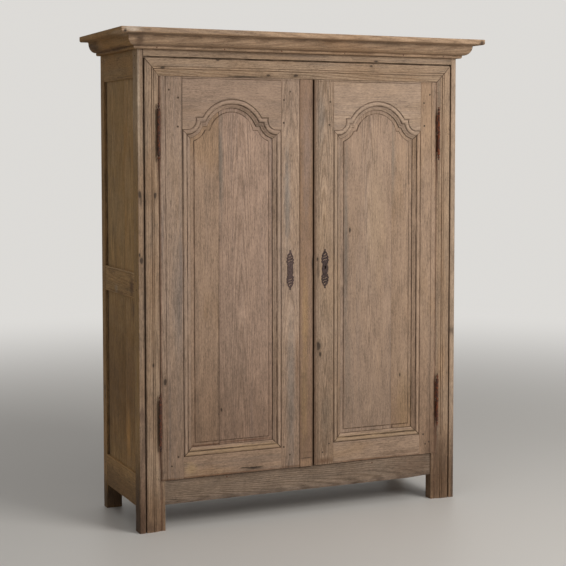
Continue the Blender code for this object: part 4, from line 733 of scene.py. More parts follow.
    "rightBoard": dict(tone="door", seed=25.8, heart=(0.3, -0.225, 1.9), lean=0.032, ringWidth=0.0055,
        figure=0.75, grey=0.4, warm=0.2, tint=(1.0, 0.98, 0.98), specks=0.2,
        dimming=(((0.87, 0.87, 0.87), 0.65, 0.36), doorPaintedShade[1]), knots=((0.212, 1.158, 0.006),),
        stains=((0.194, 1.1, 0.012, 0.45, (0.185, 0.15, 0.12), 0.7),
        (0.205, 0.6, 0.02, 0.25, (0.23, 0.175, 0.135), 0.5),
        (0.33, 1.2, 0.05, 0.3, (0.37, 0.262, 0.165), 0.4))),
    "rightSecondBoard": dict(tone="door", seed=26.4, heart=(0.62, -0.24, 1.0), figure=0.35, grey=0.2,
        warm=0.4, tint=(0.92, 0.88, 0.84), specks=0.2, dimming=(((0.84, 0.8, 0.76), 0.6, 0.36), doorPaintedShade[1]),
        knots=((0.448, 0.543, 0.004),), stains=((0.41, 1.45, 0.014, 0.2, (0.2, 0.165, 0.132), 0.5),
        (0.403, 0.9, 0.003, 6.0, groove, 0.5), (0.47, 0.4, 0.05, 0.18, (0.34, 0.225, 0.12), 0.5))),
    "peg": dict(tone="front", seed=31.0, axes="xzy", figure=0.8, grey=0.6, warm=0.2, tint=(0.27, 0.25, 0.25),
        grime=0.95),
    "leftSideBoard": dict(tone="side", seed=5.2, axes="yxz", heart=(-0.07, -0.74, 1.0), ringWidth=0.006,
        figure=0.75, warm=0.5, tint=(1.12, 1.08, 0.98), stains=(sideLow,
        (-0.03, 0.36, 0.035, 0.11, (0.5, 0.255, 0.075), 0.7),
        (-0.12, 0.86, 0.05, 0.05, (0.115, 0.06, 0.028), 0.7),
        (-0.13, 1.2, 0.02, 0.5, (0.17, 0.1, 0.045), 0.5))),
    "leftSideOtherBoard": dict(tone="side", seed=6.9, axes="yxz", heart=(0.15, -0.75, 0.6), lean=0.03,
        ringWidth=0.006, figure=0.75, grey=0.6, tint=(1.03, 1.01, 0.94), stains=(sideLow,
        # near-black on the ledge of the shadow gap: a painted shadow
        (0.229, 0, 0.009, 0, hollowShade, 1.0))),
    "leftSideRail": dict(tone="side", seed=7.7, axes="zxy", heart=(1.0, -0.8, 0.0), figure=0.6, warm=0.35,
        tint=(0.96, 0.9, 0.8), specks=0.7, stains=((0.955, -0.11, 0.04, 0.03, (0.085, 0.038, 0.014), 0.85),
        (0.9, 0.03, 0.03, 0.08, (0.11, 0.055, 0.022), 0.6), (0.93, 0.09, 0.02, 0.025, (0.4, 0.29, 0.18), 0.7),
        (1.0095, 0, 0.003, 0, (0.36, 0.25, 0.14), 0.6), (0.12, 0, 0.1, 0, (0.136, 0.073, 0.027), 0.75))),
    "leftRearPost": dict(tone="side", seed=8.8, axes="yxz", tint=(0.82, 0.76, 0.7), specks=0.7,
        knots=((0.257, 0.504, 0.007), (0.25, 0.469, 0.006)),
        # the first stain darkens the foot: partly dirt, partly painted shadow under the case
        stains=((0, 0.04, 0, 0.09, (0.062, 0.035, 0.018), 0.85),
        (0.2335, 0.93, 0.006, 6.0, (0.05, 0.028, 0.015), 0.7),
        # near-black beside the shadow gap: a painted shadow
        (0.2335, 0, 0.005, 0, hollowShade, 1.0, -0.691, 0.009))),
    "rightSideBoard": dict(tone="front", seed=5.9, axes="yxz", heart=(-0.02, 0.75, 1.0), ringWidth=0.006,
        figure=0.65, grey=0.4, warm=0.4, tint=(0.92, 0.88, 0.82)),
    "rightSideOtherBoard": dict(tone="front", seed=7.3, axes="yxz", heart=(0.1, 0.76, 0.6), lean=0.03,
        ringWidth=0.006, figure=0.65, tint=(0.88, 0.86, 0.8)),
    "rightSideRail": dict(tone="front", seed=8.1, axes="zxy", heart=(1.0, 0.8, 0.0), figure=0.6, warm=0.35,
        tint=(0.92, 0.88, 0.82), specks=0.6),
    "rightRearPost": dict(tone="front", seed=8.2, axes="yxz", tint=(0.82, 0.78, 0.72), specks=0.6)}
oak = {name: oakFinish(name + "Oak", **look) for name, look in oakLooks.items()}

# Front frame: posts and top rail, with one moulding mitred round the doors
print("front")
boltSocket = {"low": (-0.0692, -0.1592), "high": (-0.0548, -0.1400), "top": (1.7500, 1.7712),
              "foot": (0.1955, 0.2200)}
frontFrame = {"strip": 0.0235, "moulding": 0.065, "railStrip": 0.026, "railMoulding": 0.074,
              "layer": 0.020, "width": 0.107, "depth": 0.052, "arris": 0.005, "railBottom": 1.770,
              "rebate": 0.0355, "apronTop": 0.1965, "mitreGap": 0.0004, "reach": 0.5957}


def carveSocket(obj, level):
    low, high = boltSocket[level]
    carve(obj, (*boltSocket["low"], low), (*boltSocket["high"], high))


def frontMoulding():
    # place across it, from 0 at the strip to 1 at the doors, and depth
    section = [(0.0, 0.0), (0.0, 0.009), (0.092, 0.009), (0.092, 0.0006), (0.495, 0.0006),
               (0.510, 0.0028), (0.535, 0.0028)]
    for i in range(13):
        turn = pi * i / 12
        section.append((0.535 + 0.05 * (1 - cos(turn)), 0.0026 - 0.0024 * sin(turn)))
    return section + [(0.655, 0.0046)] + ogee(0.670, 1.0, 0.0026, 0.008, 12)


def makeFrontPost(word, side):
    f = frontFrame
    strip, layer, height = f["strip"], f["layer"], case["height"]
    end = strip + f["moulding"]

    def upright(u, v, s):
        return side * (case["half"] - u), case["front"] + v, s

    def mitred(u, v, s):
        share = (u - strip) / f["moulding"]
        return upright(u, v, s * (height - f["railStrip"] - share * f["railMoulding"] - f["mitreGap"]))

    def fill(bm):
        outline = [(0.0, f["depth"])] + arc((f["arris"], f["arris"]), f["arris"], 180, 270, 6)
        outline += [(strip, 0.0), (strip, layer), (end, layer), (end, f["depth"])]
        addShell(bm, softened(outline, 0.0012), steps(0.0, height, 0.03), upright)
        profile = [(strip + p * f["moulding"], d) for p, d in frontMoulding()[1:]]
        profile += [(end, layer + 0.0004), (strip, layer + 0.0004)]
        # the groove's floor and the inner edge by the doors count as hollows: grime and painted shade
        section = soiledAndShaded(softened(profile, 0.0007), lambda u, v: (
            v > 0.0025 and u < strip + 0.007 or v > 0.0085 and u > strip + 0.06))
        addShell(bm, section, [i / 62 for i in range(62)] + [0.9985, 0.9993, 1.0], mitred, (-1, -2))
        for front, low, high, pitch in ((0.008, 0.0, f["apronTop"], 0.03),
                                        (f["rebate"], f["apronTop"], height, 0.05)):
            section = softened(blockSection((end - 0.0002, f["width"]), (front, f["depth"])))
            addShell(bm, section, steps(low, high, pitch), upright)

    makeWorn("front_post_" + word, fill, oak["frontPost" + word.capitalize()], depth=0.0018, patches=9.0,
             seed=side)


def makeFrontTopRail():
    f = frontFrame
    top, bottom, rebate = case["height"], f["railBottom"], f["rebate"]
    strip, layer, back, low = top - f["railStrip"], f["layer"] - 0.0003, f["depth"] - 0.0003, bottom - 0.014

    def mitred(u, v, s):
        share = min(1.0, max(0.0, (strip - v) / f["railMoulding"]))
        reach = case["half"] - f["strip"] - share * f["moulding"] - f["mitreGap"]
        return s * reach, case["front"] + u, v

    def fillLayer(bm):
        profile = [(0.0, top)] + [(d, strip - p * f["railMoulding"]) for p, d in frontMoulding()]
        profile += [(layer, bottom), (layer, top)]
        groove = strip - 0.0075
        # the groove's floor counts as a hollow: grime and painted shade
        section = soiledAndShaded(softened(profile, 0.0007), lambda u, v: u > 0.0025 and groove < v < groove + 0.0078)
        inner = [i / 23 - 1 for i in range(1, 46)]
        addShell(bm, section, [-1.0, -0.9985, -0.9965] + inner + [0.9965, 0.9985, 1.0], mitred,
                 (0, 1, -1, -2))

    def fillBody(bm):
        section = [(0.013, top), (0.013, bottom + 0.004), (rebate, bottom + 0.004), (rebate, low),
                   (back, low), (back, top)]
        addShell(bm, softened(section), steps(-f["reach"], f["reach"], 0.05),
                 lambda u, v, s: (s, case["front"] + u, v))

    layerPiece, body = (wornPiece(name, fill, oak["frontTopRail"], depth=0.0012, patches=8.0, seed=3.0)
                        for name, fill in (("topRailLayer", fillLayer), ("topRailBody", fillBody)))
    carveSocket(body, "top")
    settle(joined("frontTopRail", [layerPiece, body]), "front_top_rail")


def makeApron():
    wave = {"rise": 0.005, "length": 0.130, "inset": 0.014, "foot": 0.100}
    f = frontFrame
    foot, ledge, back = wave["foot"], 0.2105, f["depth"] - 0.0003

    def place(u, v, s):
        lift = max(0.0, (s - f["reach"] + wave["length"]) / wave["length"])
        share = max(0.0, 1.0 - (v - foot) / 0.02) if v < 0.12 else 0.0
        return s, case["front"] + u, v + share * wave["rise"] * (1 - cos(pi * lift)) / 2

    section = [(wave["inset"], foot), (wave["inset"], f["apronTop"]), (f["rebate"], f["apronTop"]),
               (f["rebate"], ledge), (back, ledge), (back, foot)]
    obj = wornPiece("apron", lambda bm: addShell(bm, softened(section, 0.0016), steps(
        -f["reach"], f["reach"], 0.02), place), oak["apron"], depth=0.003, patches=11.0, seed=5.0)
    carveSocket(obj, "foot")
    settle(obj, "front_bottom_rail")


for word, side in sides:
    makeFrontPost(word, side)
makeFrontTopRail()
makeApron()

# Sides: rear post, three rails and two panels of two boards on each side
print("sides")
sideFrame = {"railOuter": 0.702, "railInner": 0.676, "line": 0.008, "lineWidth": 0.0016, "lineDepth": 0.0013,
             "rails": {"top": (1.762, 1.870, True, False), "middle": (0.912, 1.012, True, True),
                       "bottom": (0.099, 0.226, False, True)},
             "panels": {"upper": (1.003, 1.771), "lower": (0.217, 0.921)}, "postInner": 0.638,
             "panelOuter": 0.694, "panelInner": 0.684, "joint": -0.004, "lap": 0.006, "shadowGap": 0.010}


def makeSide(word, side):
    p = sideFrame
    post = ((side * case["half"], case["rearFront"], 0.0),
            (side * p["postInner"], case["back"], case["height"]))
    makeWorn("rear_post_" + word, lambda bm: blocks(bm, [post], 0.0025, 0.03), oak[word + "RearPost"],
             depth=0.002, patches=10.0, seed=7.0 + side)
    for level, (low, high, lineLow, lineHigh) in p["rails"].items():
        outer, deep = p["railOuter"], p["railOuter"] - p["lineDepth"]
        section = [(p["railInner"], low), (outer, low)]
        for isCut, at, after in ((lineLow, low + p["line"], low + p["line"] + p["lineWidth"]),
                                 (lineHigh, high - p["line"] - p["lineWidth"], high - p["line"])):
            if isCut:
                section += [(outer, at), (deep, at), (deep, after), (outer, after)]
        section += [(outer, high), (p["railInner"], high)]
        makeWorn(f"side_{level}_rail_{word}", lambda bm: addShell(
            bm, softened(section, 0.0016), steps(case["postBack"] + 0.0007, case["rearFront"] - 0.0007, 0.03),
            lambda u, v, s: (side * u, s, v)), oak[word + "SideRail"], depth=0.0014, seed=9.0 + low)
    inner, outer, joint = p["panelInner"], p["panelOuter"], p["joint"]
    middle, ledge, lap = (inner + outer) / 2, case["rearFront"] - p["shadowGap"], joint + p["lap"]
    frontBoard = [(inner, -0.154), (outer, -0.154), (outer, joint - 0.0007),
                  (middle + 0.0002, joint - 0.0007), (middle + 0.0002, lap), (inner, lap)]
    rearBoard = [(inner, lap + 0.0004), (middle + 0.0006, lap + 0.0004),
                 (middle + 0.0006, joint + 0.0007), (outer, joint + 0.0007), (outer, ledge),
                 (outer - 0.006, ledge), (outer - 0.006, 0.248), (inner, 0.248)]
    for level, (low, high) in p["panels"].items():
        boards = []
        for outline, name in ((frontBoard, "SideBoard"), (rearBoard, "SideOtherBoard")):
            # points on the ledge by the rear post count as hollows: painted shadow in the shadow gap; the lap
            # counts as a dark joint
            section = soiledAndShaded(softened(outline, 0.0012), lambda u, v: (
                v > ledge - 0.0004 and u < outer - 0.004 or u < middle + 0.001 and v < lap + 0.001))
            boards.append(wornPiece("board", lambda bm: addShell(
                bm, section, steps(low, high, 0.04), lambda u, v, s: (side * u, v, s)), oak[word + name],
                seed=low))
        node = f"side_panel_{level}_{word}"
        settle(joined(nameOf(node), boards), node)


for word, side in sides:
    makeSide(word, side)

# Cornice: one section, mitred at the front corners, square at the back
print("cornice")
cornice = {"overhang": 0.087, "height": 0.076, "soffit": 0.022, "nose": 0.007, "cove": 0.004,
           "ovoloOut": 0.050, "ovoloIn": 0.021, "ovoloFoot": 0.012, "fillet": 0.003, "bead": 0.006,
           "seat": 0.022, "gap": 0.0005}


def corniceSection():
    c = cornice
    out, soffit, nose, cove, bead = c["overhang"], c["soffit"], c["nose"], c["cove"], c["bead"]
    section = [(out - 0.0012, 0.0), (out, 0.0012)] + arc((out - nose, soffit - nose), nose, 0, 90, 8)
    section += arc((c["ovoloOut"] + cove, soffit + cove), cove, 270, 180, 6)
    top, foot = soffit + cove, c["height"] - c["ovoloFoot"]
    section += [(c["ovoloIn"] + (c["ovoloOut"] - c["ovoloIn"]) * cos(pi / 2 * i / 16),
                 top + (foot - top) * sin(pi / 2 * i / 16)) for i in range(1, 17)]
    step = c["ovoloIn"] - c["fillet"]
    section += [(step, foot), (step, foot + c["fillet"])]
    section += arc((step - bead, c["height"] - bead), bead, -30, 90, 8)
    return section + [(-c["seat"], c["height"]), (-c["seat"], 0.0)]


def makeCornice():
    section, gap = softened(corniceSection(), 0.0014, 0.0016), cornice["gap"]
    half, front, back, top = case["half"], case["front"], case["back"], case["top"]
    makeWorn("cornice_front", lambda bm: addShell(
        bm, section, [i / 40 - 1 for i in range(81)],
        lambda out, drop, s: (s * (half + out - gap), front - out, top - drop)),
        oak["corniceFront"], depth=0.0035, patches=9.0, seed=11.0)
    for word, side in sides:
        def place(out, drop, s):
            start = front - out + gap
            return side * (half + out), start + s * (back - start), top - drop

        makeWorn("cornice_return_" + word,
                 lambda bm: addShell(bm, section, [i / 20 for i in range(21)], place),
                 oak[word + "Return"], depth=0.003, patches=10.0, seed=13.0 + side)


makeCornice()


# Back, roof, floor and shelves: rows of boards with open joints
print("inside")
inside = {"boardGap": 0.0007, "backReach": 0.647, "backCount": 5, "backFaces": (0.257, 0.269),
          "backEnds": (0.217, 1.771), "roofReach": 0.6807, "roofFaces": (1.8703, 1.8863),
          "roofEdges": (-0.1747, -0.065, 0.052, 0.168), "railReach": 0.6374, "railFaces": (0.250, 0.276),
          "shelfEdges": (-0.012, 0.118), "thickness": 0.018, "betweenPosts": 0.6377,
          "cleatFaces": (0.6837, 0.662), "cleatEnds": (-0.1447, 0.2387), "cleatHeight": 0.030,
          "rails": {"back_top_rail": (1.762, 1.870), "back_bottom_rail": (0.099, 0.226)},
          "shelves": {"floor_boards": (0.685, case["postBack"] + 0.0003, 0.2497, 0.1925),
                      "shelf_lower": (0.683, -0.135, 0.2567, 0.6003),
                      "shelf_middle": (0.683, -0.135, 0.2567, 1.0123),
                      "shelf_upper": (0.683, -0.135, 0.2567, 1.4203)},
          "cleats": {"lower": 0.600, "upper": 1.420}}


def makeBoards(node, finish, edges, makeRow, seed):
    gap = inside["boardGap"]
    rows = [makeRow(a + gap, b - gap) for a, b in zip(edges, edges[1:])]
    makeWorn(node, lambda bm: blocks(bm, rows, 0.0014, 0.06), oak[finish], depth=0.0012, seed=seed)


def makeBack():
    p = inside
    reach, (front, rear), (foot, top) = p["backReach"], p["backFaces"], p["backEnds"]
    width = 2 * reach / p["backCount"]
    makeBoards("back_boards", "backBoard", [-reach + width * i for i in range(p["backCount"] + 1)],
               lambda a, b: ((a, front, foot), (b, rear, top)), 21.0)


def makeRoof():
    reach, (foot, top) = inside["roofReach"], inside["roofFaces"]
    makeBoards("roof_boards", "roofBoard", [*inside["roofEdges"], case["back"]],
               lambda a, b: ((-reach, a, foot), (reach, b, top)), 22.0)


def makeBackRails():
    reach, (front, rear) = inside["railReach"], inside["railFaces"]
    for node, (low, high) in inside["rails"].items():
        makeWorn(node, lambda bm: blocks(bm, [((-reach, front, low), (reach, rear, high))], 0.002),
                 oak["roofBoard"], depth=0.001, seed=low)


def makeShelf(node, reach, start, end, low):
    def makeRow(a, b):  # the last board stands between the rear posts
        half = reach if a < case["rearFront"] else inside["betweenPosts"]
        return (-half, a, low), (half, b, round(low + inside["thickness"], 4))

    makeBoards(node, "inner", [start, *inside["shelfEdges"], case["rearFront"], end], makeRow, low)


def makeCleat(level, word, side):
    (outer, inner), (front, rear), top = inside["cleatFaces"], inside["cleatEnds"], inside["cleats"][level]
    makeWorn(f"cleat_{level}_{word}", lambda bm: blocks(
        bm, [((side * outer, front, top - inside["cleatHeight"]), (side * inner, rear, top))], 0.003),
        oak["inner"], depth=0.001, seed=top + side)


makeBack()
makeRoof()
makeBackRails()
for node, row in inside["shelves"].items():
    makeShelf(node, *row)
for level in inside["cleats"]:
    for word, side in sides:
        makeCleat(level, word, side)

# Doors
print("doors")
doorFrame = {"top": 1.7685, "bottom": 0.198, "face": -0.191, "back": -0.163, "edge": 0.613, "sill": 0.283,
             "stileLine": 0.024, "meetingLine": 0.0155, "lineWidth": 0.0016, "lineDepth": 0.0013,
             "topLine": 0.006, "archToTop": 0.0825, "archRise": 0.0715,
             "scallopRadius": 0.036, "scallopInset": 0.021, "scallopDrop": 0.012, "panelFront": 0.0128,
             "panelThickness": 0.010, "jointGap": 0.0005, "scratch": 0.0011}
doorSizes = {"left": {"side": -1, "free": 0.038, "hingeStile": 0.0935, "freeStile": 0.138,
                      "shoulder": 0.0293, "joint": -0.055},
             "right": {"side": 1, "free": 0.0455, "hingeStile": 0.075, "freeStile": 0.0865,
                       "shoulder": 0.0225, "joint": 0.071}}
closingStrip = {"width": 0.058, "thickness": 0.014, "proud": 0.003, "round": 0.003}
for door in doorSizes.values():
    door["hingeLine"] = door["side"] * (doorFrame["edge"] - door["hingeStile"])
    door["freeLine"] = door["free"] + door["side"] * door["freeStile"]
    door["middle"] = (door["hingeLine"] + door["freeLine"]) / 2
    door["half"] = abs(door["hingeLine"] - door["freeLine"]) / 2
doorFrame["line"] = doorFrame["top"] - doorFrame["topLine"] - doorFrame["lineWidth"] / 2


def scallop(door, inset, count=14):
    d = doorFrame
    radius, sideX = d["scallopRadius"] + inset, door["half"] - inset
    centreX = door["half"] - d["scallopInset"]
    shoulder = d["top"] - d["archToTop"] - d["archRise"]
    centreZ = shoulder - d["scallopDrop"]
    level = max(0.0, sideX - centreX)
    start = -pi / 2 if sideX >= centreX else -pi + acos((centreX - sideX) / radius)
    end = -pi - asin((shoulder - inset - centreZ) / radius)
    length = level + radius * (start - end)
    points = []
    for i in range(count + 1):
        along = length * i / count
        if along < level:
            points.append((sideX - along, centreZ - radius))
        else:
            turn = start - (along - level) / radius
            points.append((centreX + radius * cos(turn), centreZ + radius * sin(turn)))
    return points


outlineCache = {}
outlineSpans = {"sill": (0, 14), "right": (14, 50), "head": (50, 120), "left": (120, 156)}


def panelOutline(door, inset):
    # from the sill's left corner round by the right side, over the arch and down to the left side
    key = (door["side"], round(inset, 7))
    if key in outlineCache:
        return outlineCache[key]
    d = doorFrame
    half, sill = door["half"] - inset, d["sill"] + inset
    right = scallop(door, inset)
    shoulder = d["top"] - d["archToTop"] - d["archRise"]
    span = (door["half"] - d["scallopInset"] - sqrt(d["scallopRadius"] ** 2 - d["scallopDrop"] ** 2)
            - door["shoulder"])
    radius = (span ** 2 + d["archRise"] ** 2) / (2 * d["archRise"])
    centre = shoulder + d["archRise"] - radius
    spring = degrees(asin((shoulder - inset - centre) / (radius - inset)))
    rise = [right[0][1] + (sill - right[0][1]) * (1 - i / 36) for i in range(36)]
    points = [(-half + 2 * half * i / 14, sill) for i in range(14)] + [(half, z) for z in rise] + right
    points += arc((0.0, centre), radius - inset, spring, 180 - spring, 40)
    points += [(-x, z) for x, z in reversed(right)] + [(-half, z) for z in reversed(rise)][:-1]
    outlineCache[key] = [(door["middle"] + x, z) for x, z in points]
    return outlineCache[key]


def doorMoulding():
    # inset from its outer line and depth behind the door's face
    section = [(-0.004, 0.0028), (0.0022, 0.0028)]
    for i in range(13):
        t = i / 12
        section.append((0.0022 + 0.0163 * t, 0.0006 - 0.0018 * sin(pi * t)))
    section += [(0.0185, 0.0028)] + ogee(0.021, 0.035, 0.0028, 0.009, 10)
    return section + [(0.035, 0.0124), (0.027, 0.0124), (0.027, 0.0235), (0.035, 0.0235), (0.035, 0.026),
                      (-0.004, 0.026)]


def addDoorMoulding(bm, door, part):
    first, last = outlineSpans[part]

    def place(u, v, s):
        outline = panelOutline(door, u)
        before, after = (Vector(outline[(int(s) + k) % len(outline)]) for k in (0, 1))
        x, z = before.lerp(after, s - int(s))
        if part in ("sill", "head") and s in (first, last):
            reach = door["half"] - max(u, 0.0) - doorFrame["jointGap"]
            x = door["middle"] + copysign(reach, x - door["middle"])
        return x, doorFrame["face"] + v, z

    section = softened(doorMoulding(), 0.0006, 0.0016)
    # 0.75: rubbed crown of the torus, also a painted highlight; -0.45: painted shade beside the quirks; -1:
    #       grime and painted shade in the quirks
    for depth, test in ((0.75, lambda u, v: 0.0070 < u < 0.0140 and v < 0.0),
                        (-0.45, lambda u, v: 0.0 < u < 0.0052 and v < 0.003 or 0.0160 < u < 0.0238),
                        (-1.0, lambda u, v: (u < 0.0023 and v > 0.0015 or 0.0182 < u < 0.0213
                                             or u > 0.0345 and v > 0.007))):
        section = soiledAndShaded(section, test, depth)
    stations = [first, first + 0.05, first + 0.12, *range(first + 1, last), last - 0.12, last - 0.05, last]
    addShell(bm, section, stations, place, (0, 1, -1, -2))


def dent(z, height, depth):
    # how far a scratched line at one height sets a face back
    return depth * max(0.0, 1.0 - abs(z - height) / doorFrame["scratch"])


def makeStile(word, part):
    door, d = doorSizes[word], doorFrame
    node, atHinge = f"{word}_door_{part}_stile", part == "hinge"
    inward = -door["side"] if atHinge else door["side"]
    start = door["side"] * d["edge"] if atHinge else door["free"]
    end = door["hingeLine" if atHinge else "freeLine"]
    face, back, edge = d["face"], d["back"], start + inward * (closingStrip["width"] + 0.0004)
    if atHinge or word == "right":
        line, depth = start + inward * d["stileLine" if atHinge else "meetingLine"], face + d["lineDepth"]
        far = line + inward * d["lineWidth"]
        outline = [(start, face), (line - inward * 0.0030, face), (line - inward * 0.0009, face),
                   (line, face), (line, depth), (far, depth), (far, face), (far + inward * 0.0009, face),
                   (far + inward * 0.0030, face)]
    else:
        seat = face + closingStrip["thickness"] - closingStrip["proud"] + 0.0003
        outline = [(start, seat), (edge, seat), (edge, face)]
        line = far = edge
    outline = [(start, back)] + outline + [(end, face), (end, back)]
    stations = steps(d["bottom"], d["line"] - 0.0012, 0.03) + [d["line"], d["line"] + 0.0012, d["top"]]

    def fillBoard(bm):
        # the scratched line gets some grime and painted shade; the edge face by the frame is painted dark:
        # painted shade in the gap
        section = soiledAndShaded(softened(outline, 0.0012), lambda u, v: (
            min(line, far) - 0.0012 < u < max(line, far) + 0.0012), -0.32)
        section = soiledAndShaded(section, lambda u, v: abs(u - start) < 0.0004 and v > face + 0.0008)
        addShell(bm, section, stations, lambda u, v, s: (
            u, v + (dent(s, d["line"], d["lineDepth"]) if v < face + 0.002 else 0.0), s))

    def fillMoulding(bm):
        addDoorMoulding(bm, door, "right" if end > door["middle"] else "left")

    parts = (("Board", fillBoard), ("Moulding", fillMoulding))
    board, moulding = (wornPiece(nameOf(node) + name, fill, oak[nameOf(node)], depth=0.0016, patches=10.0,
                                 seed=start) for name, fill in parts)
    if node == "right_door_meeting_stile":
        carve(board, (0.0905, face - 0.02, 0.9995), (0.0980, back + 0.02, 1.0182))  # the keyhole
    settle(joined(nameOf(node), [board, moulding]), node)


def makeTopRail(word):
    door, d = doorSizes[word], doorFrame
    face, middle = d["face"], door["middle"]
    first, last = outlineSpans["head"]

    def fill(bm):
        rings = []
        # -0.3 and -1 darken the step down to the arch: grime and painted shade; 0.9 is a rubbed arris
        for inset, depth, wear in ((0.0, d["back"] - face, 0.0), (0.0, 0.0036, -0.3), (0.0, 0.0026, -1.0),
                                   (0.0, 0.0012, 0.0), (-0.0004, 0.0004, 0.9), (-0.0012, 0.0, 0.0)):
            points = panelOutline(door, inset)[first:last + 1]
            reach, top = door["half"] - d["jointGap"] + inset, d["top"] + inset
            points = [(middle + reach, points[0][1]), *points[1:-1], (middle - reach, points[-1][1]),
                      (middle - reach, top), (middle + reach, top)]
            rings.append(addRing(bm, [(x, face + depth, z) for x, z in points], wear))
        bridge(bm, rings)
        bm.faces.new(rings[0])
        bm.faces.new(list(reversed(rings[-1])))
        addScratch(bm, (0, 0, 1), d["line"], d["scratch"], d["lineDepth"], face + 0.0005, -0.8)
        addDoorMoulding(bm, door, "head")

    makeWorn(word + "_door_top_rail", fill, oak[word + "TopRail"], seed=31.0)


def makeBottomRail(word):
    door, d = doorSizes[word], doorFrame
    middle, reach = door["middle"], door["half"] - d["jointGap"]

    def fill(bm):
        blocks(bm, [((middle - reach, d["face"], d["bottom"]), (middle + reach, d["back"], d["sill"]))],
               pitch=0.03)
        addDoorMoulding(bm, door, "sill")

    makeWorn(word + "_door_bottom_rail", fill, oak[word + "BottomRail"], depth=0.0016, seed=33.0)


def makePanel(word):
    door, node = doorSizes[word], word + "_door_panel"
    front, joint = doorFrame["face"] + doorFrame["panelFront"], door["middle"] + door["joint"]

    def fill(bm):
        # the rings at -1 darken the margin's edge and the field's step: grime and painted shade; 0.6 is the
        # field's rubbed arris
        rings = [addRing(bm, [(x, front + lift, z) for x, z in panelOutline(door, inset)], wear)
                 for inset, lift, wear in (
                     (0.028, doorFrame["panelThickness"], 0.0), (0.028, 0.0, 0.0), (0.0352, 0.0, -1.0),
                     (0.0375, 0.0, 0.0), (0.0482, 0.0, 0.0), (0.0503, 0.0, -1.0), (0.0518, -0.0001, -1.0),
                     (0.0531, -0.0014, 0.0), (0.0537, -0.0022, 0.6), (0.0546, -0.0025, 0.0))]
        bridge(bm, rings)
        bm.faces.new(rings[0])
        bm.faces.new(list(reversed(rings[-1])))
        addScratch(bm, (1, 0, 0), joint, 0.0009, 0.0014, front + 0.0005, -1.0)
        for face in bm.faces:
            face.material_index = 1 if face.calc_center_median().x > joint else 0

    obj = filledObject(nameOf(node), fill)
    for name in ("Board", "SecondBoard"):
        obj.data.materials.append(oak[word + name])
    settle(obj, node)


def makeClosingStrip():
    d, c = doorFrame, closingStrip
    front, right, radius = d["face"] - c["proud"], doorSizes["left"]["free"], c["round"]
    left, rear, line = right - c["width"], front + c["thickness"], d["bottom"] + c["width"]
    outline = [(left, rear), (right, rear)] + arc((right - radius, front + radius), radius, 0, -90, 6)
    outline += arc((left + radius, front + radius), radius, -90, -180, 6)
    stations = [d["bottom"], line - 0.0012, line] + steps(line + 0.0012, d["top"], 0.02)
    makeWorn("closing_strip", lambda bm: addShell(bm, softened(outline, 0.001), stations, lambda u, v, s: (
        u, v + (dent(s, line, 0.0014) if v < front + 0.003 else 0.0), s)), oak["closingStrip"],
        depth=0.0014, patches=12.0, seed=41.0)


for word, part in (("left", "hinge"), ("left", "meeting"), ("right", "meeting"), ("right", "hinge")):
    makeStile(word, part)
for makePart in (makeTopRail, makeBottomRail, makePanel):
    for word, _ in sides:
        makePart(word)
makeClosingStrip()

# Iron
print("iron")


def ironFinish(name, base, rust, seed, roughness, metallic):
    material, net, place = newFinish(name)
    moved = net.vector("ADD", place, (seed, seed * 2, seed * 3))
    scale = net.speckle(moved, 140.0, 90.0, 4.0, 0.65)
    pits = net.speckle(moved, 520.0, 420.0, 2.0, 0.6)
    colour = net.blend(net.ramp(scale, 0.42, 0.62), base, rust)
    feedShader(net, net.mulAdd(pits, -0.6, scale), 0.8,
               Base_Color=net.blend(net.ramp(pits, 0.58, 0.72), colour, [0.4 * c for c in base]),
               Metallic=net.ramp(scale, 0.42, 0.62, metallic, metallic * 0.25),
               Roughness=net.ramp(scale, 0.35, 0.65, roughness, roughness + 0.2))
    return material


rustyIron = ironFinish("rustyIron", (0.048, 0.026, 0.019), (0.150, 0.046, 0.018), 1.7, 0.70, 0.35)
brightRust = ironFinish("brightRust", (0.064, 0.030, 0.020), (0.215, 0.060, 0.020), 2.9, 0.72, 0.3)
wornIron = ironFinish("wornIron", (0.092, 0.056, 0.050), (0.048, 0.024, 0.018), 4.1, 0.58, 0.35)
darkIron = ironFinish("darkIron", (0.066, 0.038, 0.032), (0.024, 0.012, 0.009), 6.3, 0.60, 0.35)


def makeForged(node, fill, finish, depth, dents, seed, angle):
    name = nameOf(node) if node.endswith("escutcheon") else node.replace("_", "-")
    obj = runTree(filledObject(name, fill), forgedSkin, {
        "Depth": depth, "Dents Per Metre": dents, "Seed": seed, "Finish": finish})
    settle(obj, node, angle=angle)


def addTurned(bm, profile, centre, sideCount):
    # rows of radius and height; the first and last radius are nought
    x, y, z = centre
    rings = []
    for radius, height in profile:
        turns = [2 * pi * i / sideCount for i in range(sideCount if radius > 1e-6 else 1)]
        rings.append([bm.verts.new((x + radius * cos(turn), y + radius * sin(turn), z + height))
                      for turn in turns])
    for ring, following in zip(rings, rings[1:]):
        for i in range(sideCount):
            corners = [each[k % len(each)] for each, k in ((ring, i), (ring, (i + 1) % sideCount), (
                following, (i + 1) % sideCount), (following, i))]
            bm.faces.new([v for k, v in enumerate(corners) if v not in corners[:k]])


